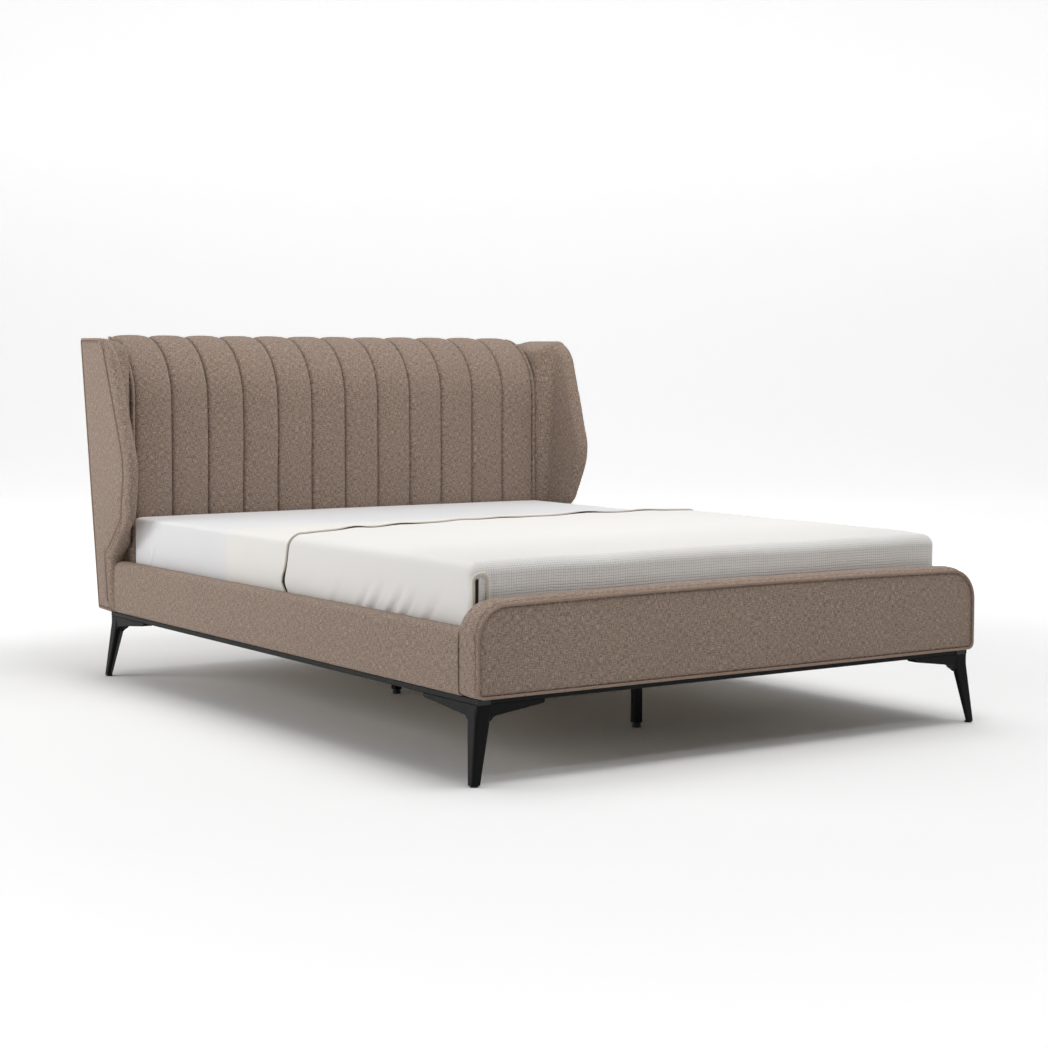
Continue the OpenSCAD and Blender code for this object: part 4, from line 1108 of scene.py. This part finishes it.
def cover(half, front, back, top, low, corner, edge, head_open, detail=None, fine_x=(),
          fine_y=(), step=0.012):
    """Cloth over a box. A point is known by its place on the sharp box: across, along and how
    far down a wall. Square corners are pulled onto arcs by max(a, b) / hypot(a, b), and the
    top edge turns down on a quarter circle. detail gives each point's push along its wall and
    its lift. Returns grids of points with their places on the flat cloth: the top, the right
    and left walls, the foot wall and, unless the cover is open there, the head wall."""
    # An open head end counts as a far one, so that no corner or edge is rounded there.
    mid = (front + back + (FAR_AWAY if head_open else 0)) / 2
    long = mid - front

    def shape(px, py, down):
        qx, qy = np.abs(px) - (half - corner), np.abs(py - mid) - (long - corner)
        inside = (qx > 0) & (qy > 0)
        far = np.hypot(np.maximum(qx, 1e-9), np.maximum(qy, 1e-9))
        pull = np.where(inside, np.maximum(qx, qy) / far, 1.0)
        sx, sy = np.sign(px), np.sign(py - mid)
        x = np.where(inside, sx * (half - corner + qx * pull), px)
        y = np.where(inside, mid + sy * (long - corner + qy * pull), py)
        gap = np.where(inside, corner - far * pull, corner - np.maximum(qx, qy))
        nx = np.where(inside, sx * qx / far, np.where(qx > qy, sx, 0.0))
        ny = np.where(inside, sy * qy / far, np.where(qx > qy, 0.0, sy))
        flat = np.stack([x + nx * down, y + ny * down], -1)
        past = down - gap
        turn = np.clip((past + edge) / (2 * edge), 0, 1) * np.pi / 2
        inset = np.where(past < -edge, -past, edge - edge * np.sin(turn))
        fall = np.where(past > edge, past, edge - edge * np.cos(turn))
        fall = np.where(past < -edge, 0.0, fall)
        x, y = x + nx * (gap - inset), y + ny * (gap - inset)
        z = top(x, y) - fall
        if detail is not None:
            push, lift = detail(x, y, z, flat, down)
            x, y, z = x + nx * push, y + ny * push, z + lift
        return np.stack([x, y, z], -1), flat

    tall = float(top(half, (front + back) / 2)) - low
    ends = (front,) if head_open else (front, back)
    xs = places(-half, half, step, (-half, half, *fine_x), 0.0045)
    ys = places(front, back, step, (*ends, *fine_y), 0.0045)
    ds = places(0, tall, 0.009, (0,), 0.004, 0.05)
    across, at = np.meshgrid(xs, ys)
    grids = [shape(across, at, np.zeros_like(across))]
    down, at = np.meshgrid(ds, ys)
    grids.append(shape(np.full_like(at, half), at, down))
    grids.append([part[:, ::-1] for part in shape(np.full_like(at, -half), at, down)])
    down, across = np.meshgrid(ds, xs)
    grids.append([part[:, ::-1].transpose(1, 0, 2)
                  for part in shape(across, np.full_like(across, front), down)])
    if not head_open:
        grids.append([part.transpose(1, 0, 2)
                      for part in shape(across, np.full_like(across, back), down)])
    return grids


def crown(x, y):
    """How full the bedding lies: 0 at the mattress's sides, 1 in its middle, and under half
    of that at the foot."""
    across = np.clip(1 - np.abs(x / 0.79) ** 2.4, 0, 1)
    return across * (0.45 + 0.55 * step_up(y, 0.06, 0.75))


def solid(piece, thick):
    """Cloth of the given thickness, all of it inside the surface drawn."""
    wall = piece.modifiers.new("thickness", "SOLIDIFY")
    wall.thickness = thick
    wall.offset = -1.0
    wall.use_even_offset = True
    wall.use_quality_normals = True


def mattress():
    """The mattress: a soft box, its lower half the mirror of its upper one, with a cord round
    its lower edge."""
    def top(x, y):
        return MATTRESS_TOP - 0.0015 + 0 * x

    half, middle = MATTRESS_HALF - 0.001, (MATTRESS_TOP + MATTRESS_BOTTOM) / 2
    upper = cover(half, MATTRESS_FRONT + 0.001, MATTRESS_BACK - 0.001, top, middle,
                  MATTRESS_CORNER, 0.018, False, step=0.04)
    lower = [(grid * [1, 1, -1] + [0, 0, 2 * middle], uv) for grid, uv in upper]
    piece = make("mattress_cover", upper + lower, ticking_quilted(),
                 BEDDING_BODY, ("mattress",), sharp=70)
    line = rounded([(-half, MATTRESS_FRONT), (half, MATTRESS_FRONT), (half, MATTRESS_BACK),
                    (-half, MATTRESS_BACK)], [MATTRESS_CORNER] * 4, 400)
    line = line - outward(line) * 0.004
    path = np.column_stack([line, np.full(len(line), MATTRESS_BOTTOM + 0.013)])
    make("mattress_edge_cord", [tube(path, 0.0035)], cotton("quilt_hem"),
         BEDDING_BODY)


def fitted_sheet():
    """Fitted sheet: it follows the mattress, with faint pulls down its walls, two slanting
    folds at the head end of each side, and head corners that stand out by 8.5 mm."""
    grow, low = 0.0018, MATTRESS_BOTTOM + 0.012

    def top(x, y):
        return MATTRESS_TOP + grow + 0.002 * crown(x, y) + 0.0005 * ripple(x, y, 0.4, 71)

    def detail(x, y, z, flat, down):
        pull = 0.0012 * ripple(flat[..., 1], flat[..., 0] * 0.2, 0.10, 72) * \
            step_up(down, 0.02, 0.12)
        folds = 0
        for lean in (-0.55, 0.35):
            across = y - SHEET_FOLD_Y - (z - 0.375) * lean
            folds = folds + 0.0042 * np.exp(-(across / 0.005) ** 2) * step_up(0.47 - z, 0, 0.06)
        side = step_up(np.abs(x), MATTRESS_HALF - 0.010, MATTRESS_HALF - 0.002)
        full = 0.0085 * side * step_up(y, 1.80, 1.98)
        return np.abs(pull) * 0.5 + folds * (down > 0) + full, 0.0

    grids = cover(MATTRESS_HALF + grow, MATTRESS_FRONT - grow, MATTRESS_BACK + grow, top, low,
                  0.019, 0.014, False, detail, fine_y=(SHEET_FOLD_Y,))
    piece = make("fitted_sheet_cotton", grids, cotton("sheet_cotton"),
                 BEDDING_BODY, ("fitted_sheet",))
    solid(piece, sizes().sheet_thick)


def blanket():
    """The cream layer: it lies on the sheet and hangs into the gap beside the mattress."""
    grow = 0.0048

    def top(x, y):
        return MATTRESS_TOP + grow + 0.003 * crown(x, y) + 0.0008 * ripple(x, y, 0.35, 75)

    def detail(x, y, z, flat, down):
        lip = step_up(y, BLANKET_BACK - 0.10, BLANKET_BACK)
        lift = lip * 0.0006 * (1 + ripple(x, z, 0.16, 76))
        fold = 0.0016 * ripple(flat[..., 1], flat[..., 0] * 0.25, 0.13, 77)
        return fold * step_up(down, 0.03, 0.16), lift

    half, front = MATTRESS_HALF + grow, MATTRESS_FRONT - grow
    grids = cover(half, front, BLANKET_BACK, top, COVER_LOW, 0.021, 0.020, True, detail,
                  fine_y=(BLANKET_BACK,))
    piece = make("cream_blanket_layer", grids, cotton("blanket_cream"),
                 BEDDING_BODY, ("cream_blanket",))
    solid(piece, sizes().blanket_thick)


QUILT_BACK = 1.125
QUILT_HALF = 0.7915
QUILT_FRONT = 0.1065
QUILT_CORNER = 0.024
# Bends of the quilt's head edge: distance across the flat cloth, and Y at each.
HEM_ACROSS = [-0.99, -0.973, -0.928, -0.826, -0.785, -0.735, -0.635, -0.394, -0.141, 0.156,
              0.403, 0.80, 1.0]
HEM_AT = [1.040, 1.049, 1.078, 1.056, 1.038, 1.040, 1.070, 1.112, 1.180, 1.184, 1.205, 1.192,
          1.188]
# Gaps between that edge and its cord: place across, half width and depth.
HEM_GAPS = [(-0.925, 0.030, 0.0040), (-0.560, 0.050, 0.0040), (-0.380, 0.070, 0.0036),
            (0.030, 0.060, 0.0022), (0.350, 0.070, 0.0045), (0.590, 0.060, 0.0022)]
# Pleats beside the left rail: Y, depth and half width.
PLEATS = [(0.655, 0.006, 0.012), (0.592, 0.009, 0.013), (0.494, 0.011, 0.012),
          (0.425, 0.009, 0.010), (0.310, 0.005, 0.016), (0.800, 0.003, 0.014)]
# The cord round the slit at the left foot corner, and the slit inside it.
LOOP_X = (-0.7840, -0.747)
LOOP_TOP = 0.508
SLIT_X = (-0.7785, -0.7710)
SLIT_TOP = 0.496
SLIT_DEEP = 0.0050
CORD_UP = (0, 1, 0.01)


def quilt_line(across):
    """Y of the quilt's head edge, by the distance across the flat cloth: straight runs
    between the places where it bends, smoothed over 60 mm."""
    fine = np.linspace(-1.2, 1.2, 2401)
    line = np.interp(fine, HEM_ACROSS, HEM_AT)
    window = np.hanning(61)
    line = np.convolve(np.pad(line, 30, mode="edge"), window / window.sum(), "valid")
    return np.interp(across, fine, line)


def hem_gap(across):
    """How far the quilt's edge stands off the cord beside it."""
    return sum(deep * np.exp(-((across - at) / wide) ** 2) for at, wide, deep in HEM_GAPS)


def quilt_height(x, y):
    """Z of the quilt's top over the mattress: a low crown, soft ripples, and a fall of 7.5 mm *
    exp(-distance / 60 mm) at the foot."""
    soft = 0.0016 * ripple(x, y, 0.42, 81) + 0.0007 * ripple(x, y, 0.16, 82)
    low = 0.0075 * np.exp(-np.maximum(y - QUILT_FRONT, 0) / 0.060)
    return MATTRESS_TOP + 0.018 + sizes().quilt_crown * crown(x, y) ** 0.5 + soft - low


def quilt_detail(x, y, z, flat, down):
    """The quilt's push outward and its lift: waves that grow down its walls, slanting pleats
    where it goes in beside the left rail, a slit up the front wall near its left corner with
    small folds beside it, and gaps along its head edge."""
    fold = 0.0020 * ripple(flat[..., 1], flat[..., 0] * 0.3, 0.20, 83) * step_up(down, 0.01, 0.14)
    left = (x < -0.6) & (y > 0.18) & (down > 0)
    to_rail = np.clip(1 - (z - RAIL_TOP) / 0.085, 0, 1)
    for at, deep, wide in PLEATS:
        across = y - at + (z - RAIL_TOP) * 0.90
        ridge = np.exp(-((across - 2.2 * wide) / (1.2 * wide)) ** 2) * 0.45
        fold = fold + left * deep * (ridge - np.exp(-(across / wide) ** 2)) * to_rail
    front = (y < 0.16) & (down > 0)
    slit = step_up(x, SLIT_X[0] - 0.002, SLIT_X[0]) * step_up(-x, -SLIT_X[1], 0.002 - SLIT_X[1])
    open_to = SLIT_TOP - 300 * (x - sum(SLIT_X) / 2) ** 2
    fold = fold - front * SLIT_DEEP * slit * step_up(open_to - z, 0, 0.006)
    past = x - LOOP_X[1]
    folds = 0.0020 * np.sin(past * 2 * np.pi / 0.019) * np.exp(-np.abs(past - 0.02) / 0.022)
    fold = fold + front * folds * (past > 0) * step_up(0.515 - z, 0, 0.03)
    gap = hem_gap(flat[..., 0]) * step_up(y, QUILT_BACK - 0.05, QUILT_BACK)
    return fold + gap * (down > 0.03), gap * (down <= 0.03)


def corner_cord_path():
    """The cord round the slit at the quilt's left foot corner: up one side, over in a half
    circle and down the other, on the quilt's rounded front."""
    wide, middle = (LOOP_X[1] - LOOP_X[0]) / 2, sum(LOOP_X) / 2
    a = np.linspace(0, np.pi, 18)[1:-1]
    up = np.linspace(0.40, LOOP_TOP - wide, 16)
    x = np.concatenate([np.full(16, LOOP_X[0]), middle - wide * np.cos(a),
                        np.full(16, LOOP_X[1])])
    z = np.concatenate([up, LOOP_TOP - wide + wide * np.sin(a), up[::-1]])
    round_in = np.clip(QUILT_CORNER - (x + QUILT_HALF), 0, QUILT_CORNER - 0.0005)
    y = QUILT_FRONT + QUILT_CORNER - np.sqrt(QUILT_CORNER ** 2 - round_in ** 2) - 0.0022
    return np.stack([x, y, z], -1)


def quilt():
    """The quilt, its waffle side up. Its head edge is drawn to a crooked line, and a thin dark
    strip, painted shade for the gap under the edge, and a cord run along it; another
    cord runs round the slit at the left foot corner."""
    grids = cover(QUILT_HALF, QUILT_FRONT, QUILT_BACK, quilt_height, COVER_LOW, QUILT_CORNER,
                  0.030, True, quilt_detail, fine_x=(-QUILT_HALF, -0.776),
                  fine_y=(QUILT_BACK,), step=0.011)
    for grid, uv in grids:
        pull = step_up(grid[..., 1], QUILT_BACK - 0.35, QUILT_BACK)
        grid[..., 1] += pull * (quilt_line(uv[..., 0]) - QUILT_BACK)
    piece = make("quilt_waffle_cloth", grids, quilt_waffle(), BEDDING_BODY,
                 ("quilt",))
    solid(piece, sizes().quilt_thick)
    top, right, left = grids[:3]
    line, flat = (np.vstack([left[k][-1, :-1], top[k][-1, :-1], right[k][-1]]) for k in (0, 1))
    across = flat[:, 0]
    wall = step_up(np.abs(across), QUILT_HALF - 0.03, QUILT_HALF + 0.03)
    gap = hem_gap(across)

    def sewn(name, ahead, inward, radius, material):
        """A thin cord that runs beside the head edge, so far ahead of it and inward."""
        place = line.copy()
        place[:, 0] -= np.sign(line[:, 0]) * inward * wall
        place[:, 2] -= inward * (1 - wall)
        place[:, 1] += ahead
        return make(name, [tube(place[::2], radius, 8, closed=False, up=CORD_UP)], material,
                    BEDDING_BODY)

    # Painted shade: a dark strip under the head edge stands in for the shadow in the gap there.
    hem_shadow_strip = sewn("quilt_edge_binding", 0.0014 + gap, 0.0012 - gap * 0.35,
                 0.0012 + gap[::2] * 0.75, cotton("quilt_binding"))
    hem = sewn("quilt_edge_cord", 0.0064 + 2.1 * gap, -0.0012, 0.0040, cotton("quilt_hem"))
    loop = make("quilt_corner_cord",
                [tube(corner_cord_path(), 0.0044, 8, closed=False, up=CORD_UP)],
                cotton("quilt_hem"), BEDDING_BODY)


# Finishes of the solids

def finish_of(node):
    """The finish of a rigid solid, by its name."""
    if node in ("slats_left", "slats_right"):
        return wood("birch", "x")
    if "bolts" in node:
        return bolt_steel()
    if node in ("slat_holders", "leg_glides", "support_feet", "tube_caps"):
        return nylon()
    if node.startswith("leg_"):
        return powder_coat("castings")
    if node.startswith(("rail_board_", "slat_ledge_")):
        return wood("pine", "y")
    if node in ("footboard_timbers", "headboard_bottom_rail"):
        return wood("pine", "x")
    if node == "wing_spacers":
        return wood("pine", "z")
    if node in ("footboard_ply", "headboard_ribs", "headboard_skin") \
            or node.startswith("wing_board_"):
        return plywood()
    return powder_coat("steel")


SOFT = ("rail_pad_", "footboard_pad", "footboard_panel", "footboard_piping",
        "headboard_channels", "headboard_back", "wing_pad_", "wing_panel_", "wing_piping_",
        "mattress", "fitted_sheet", "cream_blanket", "quilt")


def finish_solids():
    """Give each rigid solid its finish. The soft ones are replaced by pieces."""
    for name, rigid in NODES.items():
        if name.startswith(SOFT):
            continue
        finish = finish_of(name)
        if not rigid.material_slots:
            rigid.data.materials.append(finish)
        for slot in rigid.material_slots:
            slot.material = finish


# Stage

WORLD_LIGHT = 0.23
# Each lamp: name, place, target, width, height and power.
LAMPS = [("side_light", (-6.0, 3.0, 2.2), (0, 0, 0.4), 4.0, 3.2, 185),
         ("top_light", (0.5, 0.8, 6.5), (0, 0.2, 0), 6.0, 5.0, 192),
         ("head_light", (0.2, -1.5, 4.4), (0, 0.9, 0.7), 2.6, 1.6, 80),
         ("foot_light", (0, -1.60, 1.15), (0, -1.04, 0.46), 2.0, 0.2, 2.2)]
CAMERA_PLACE = (-3.613, -5.4255, 1.0324)
CAMERA_TURN, CAMERA_DOWN, CAMERA_ROLL = (math.radians(a) for a in (-34.23, 4.408, 0.09))
CAMERA_LENS = 73.33


def studio():
    """A floor that sweeps up into a backdrop, turned square to the camera: flat, a quarter
    circle of 3 m, then upright."""
    a = np.linspace(0, np.pi / 2, 24)
    back = np.concatenate([[-14, 6], 9 + 3 * np.sin(a), [12]])
    up = np.concatenate([[0, 0], 3 - 3 * np.cos(a), [12]])
    across, back = np.meshgrid(np.linspace(-22, 22, 3), back)
    x = across * math.cos(CAMERA_TURN) - back * math.sin(CAMERA_TURN)
    y = across * math.sin(CAMERA_TURN) + back * math.cos(CAMERA_TURN) - FRONT
    grid = np.stack([x, y, np.broadcast_to(up[:, None], x.shape)], -1)
    floor = make("studio_floor", [facing(grid, 0, 1)], studio_white())


def softbox(name, place, target, width, height, power):
    """A rectangular lamp at a place, aimed at a target and unseen by the camera."""
    light = bpy.data.lights.new(name, "AREA")
    light.shape = "RECTANGLE"
    light.size, light.size_y = width, height
    light.energy = power
    lamp = bpy.data.objects.new(name, light)
    lamp.visible_camera = False
    bpy.context.scene.collection.objects.link(lamp)
    back = np.array(place, float) - np.array(target, float)
    back /= np.linalg.norm(back)
    right = np.cross((0, 0, 1), back)
    right /= np.linalg.norm(right)
    up = np.cross(back, right)
    lamp.matrix_world = Matrix([[*row, p] for row, p in zip(np.stack([right, up, back], 1),
                                                            place)] + [[0, 0, 0, 1]])


def lights_and_camera():
    """Soft light from four sides, and the camera that the photograph was solved for."""
    scene = bpy.context.scene
    scene.world = bpy.data.worlds.new("studio_light")
    scene.world.use_nodes = True
    background = scene.world.node_tree.nodes["Background"]
    background.inputs[0].default_value = (1, 1, 1, 1)
    background.inputs[1].default_value = WORLD_LIGHT
    for lamp in LAMPS:
        softbox(*lamp)
    scene.view_settings.view_transform = "Standard"
    camera = bpy.data.cameras.new("camera")
    camera.lens, camera.sensor_width = CAMERA_LENS, 36.0
    camera.clip_end = 100
    seen = bpy.data.objects.new("camera", camera)
    scene.collection.objects.link(seen)
    turn = Matrix.Rotation(CAMERA_TURN, 4, "Z")
    tilt = Matrix.Rotation(math.pi / 2 - CAMERA_DOWN, 4, "X")
    roll = Matrix.Rotation(CAMERA_ROLL, 4, "Z")
    seen.matrix_world = Matrix.Translation(CAMERA_PLACE) @ turn @ tilt @ roll
    scene.camera = seen


# Operators and panel

class BED_OT_headboard(bpy.types.Operator):
    """Make the headboard's channelled padding and its back cover"""
    bl_idname = "bed.headboard"
    bl_label = "Headboard"

    def execute(self, context):
        headboard_channels()
        headboard_back()
        return {"FINISHED"}


class BED_OT_wings(bpy.types.Operator):
    """Make both wings: padding, outer panel, stitches and piping"""
    bl_idname = "bed.wings"
    bl_label = "Wings"

    def execute(self, context):
        for side in (-1, 1):
            wing_pad(side)
            wing_panel(side)
            wing_piping(side)
        return {"FINISHED"}


class BED_OT_footboard(bpy.types.Operator):
    """Make the footboard's border, front panel and piping"""
    bl_idname = "bed.footboard"
    bl_label = "Footboard"

    def execute(self, context):
        footboard_border()
        footboard_panel()
        footboard_piping()
        return {"FINISHED"}


class BED_OT_rails(bpy.types.Operator):
    """Make the padded covers of both side rails"""
    bl_idname = "bed.rails"
    bl_label = "Side rails"

    def execute(self, context):
        for side in (-1, 1):
            rail_cover(side)
        return {"FINISHED"}


class BED_OT_mattress(bpy.types.Operator):
    """Make the mattress and its corded edge"""
    bl_idname = "bed.mattress"
    bl_label = "Mattress"

    def execute(self, context):
        mattress()
        return {"FINISHED"}


class BED_OT_bedding(bpy.types.Operator):
    """Make the fitted sheet, the cream layer and the quilt"""
    bl_idname = "bed.bedding"
    bl_label = "Bedding"

    def execute(self, context):
        fitted_sheet()
        blanket()
        quilt()
        return {"FINISHED"}


class BED_OT_finishes(bpy.types.Operator):
    """Give every solid of the frame its finish"""
    bl_idname = "bed.finishes"
    bl_label = "Finishes"

    def execute(self, context):
        finish_solids()
        return {"FINISHED"}


class BED_OT_stage(bpy.types.Operator):
    """Make the studio floor, its lights and the camera"""
    bl_idname = "bed.stage"
    bl_label = "Stage"

    def execute(self, context):
        studio()
        lights_and_camera()
        return {"FINISHED"}


OPERATORS = (BED_OT_headboard, BED_OT_wings, BED_OT_footboard, BED_OT_rails, BED_OT_mattress,
             BED_OT_bedding, BED_OT_finishes, BED_OT_stage)


class BED_PT_sidebar(bpy.types.Panel):
    """Sizes, colours and pieces of the bed"""
    bl_idname = "BED_PT_sidebar"
    bl_label = "Upholstered bed"
    bl_space_type = "VIEW_3D"
    bl_region_type = "UI"
    bl_category = "Bed"

    def draw(self, context):
        column = self.layout.column()
        for group in (context.scene.bed_sizes, context.scene.bed_colours):
            for name in group.__annotations__:
                column.prop(group, name)
            column.separator()
        for operator in OPERATORS:
            column.operator(operator.bl_idname)


CLASSES = (BedSizes, BedColours, *OPERATORS, BED_PT_sidebar)


def register():
    for kind in CLASSES:
        bpy.utils.register_class(kind)
    bpy.types.Scene.bed_sizes = PointerProperty(type=BedSizes)
    bpy.types.Scene.bed_colours = PointerProperty(type=BedColours)


def unregister():
    del bpy.types.Scene.bed_colours
    del bpy.types.Scene.bed_sizes
    for kind in reversed(CLASSES):
        bpy.utils.unregister_class(kind)


def main():
    register()
    for operator in OPERATORS:
        group, name = operator.bl_idname.split(".")
        getattr(getattr(bpy.ops, group), name)()


if __name__ == "__main__":
    main()
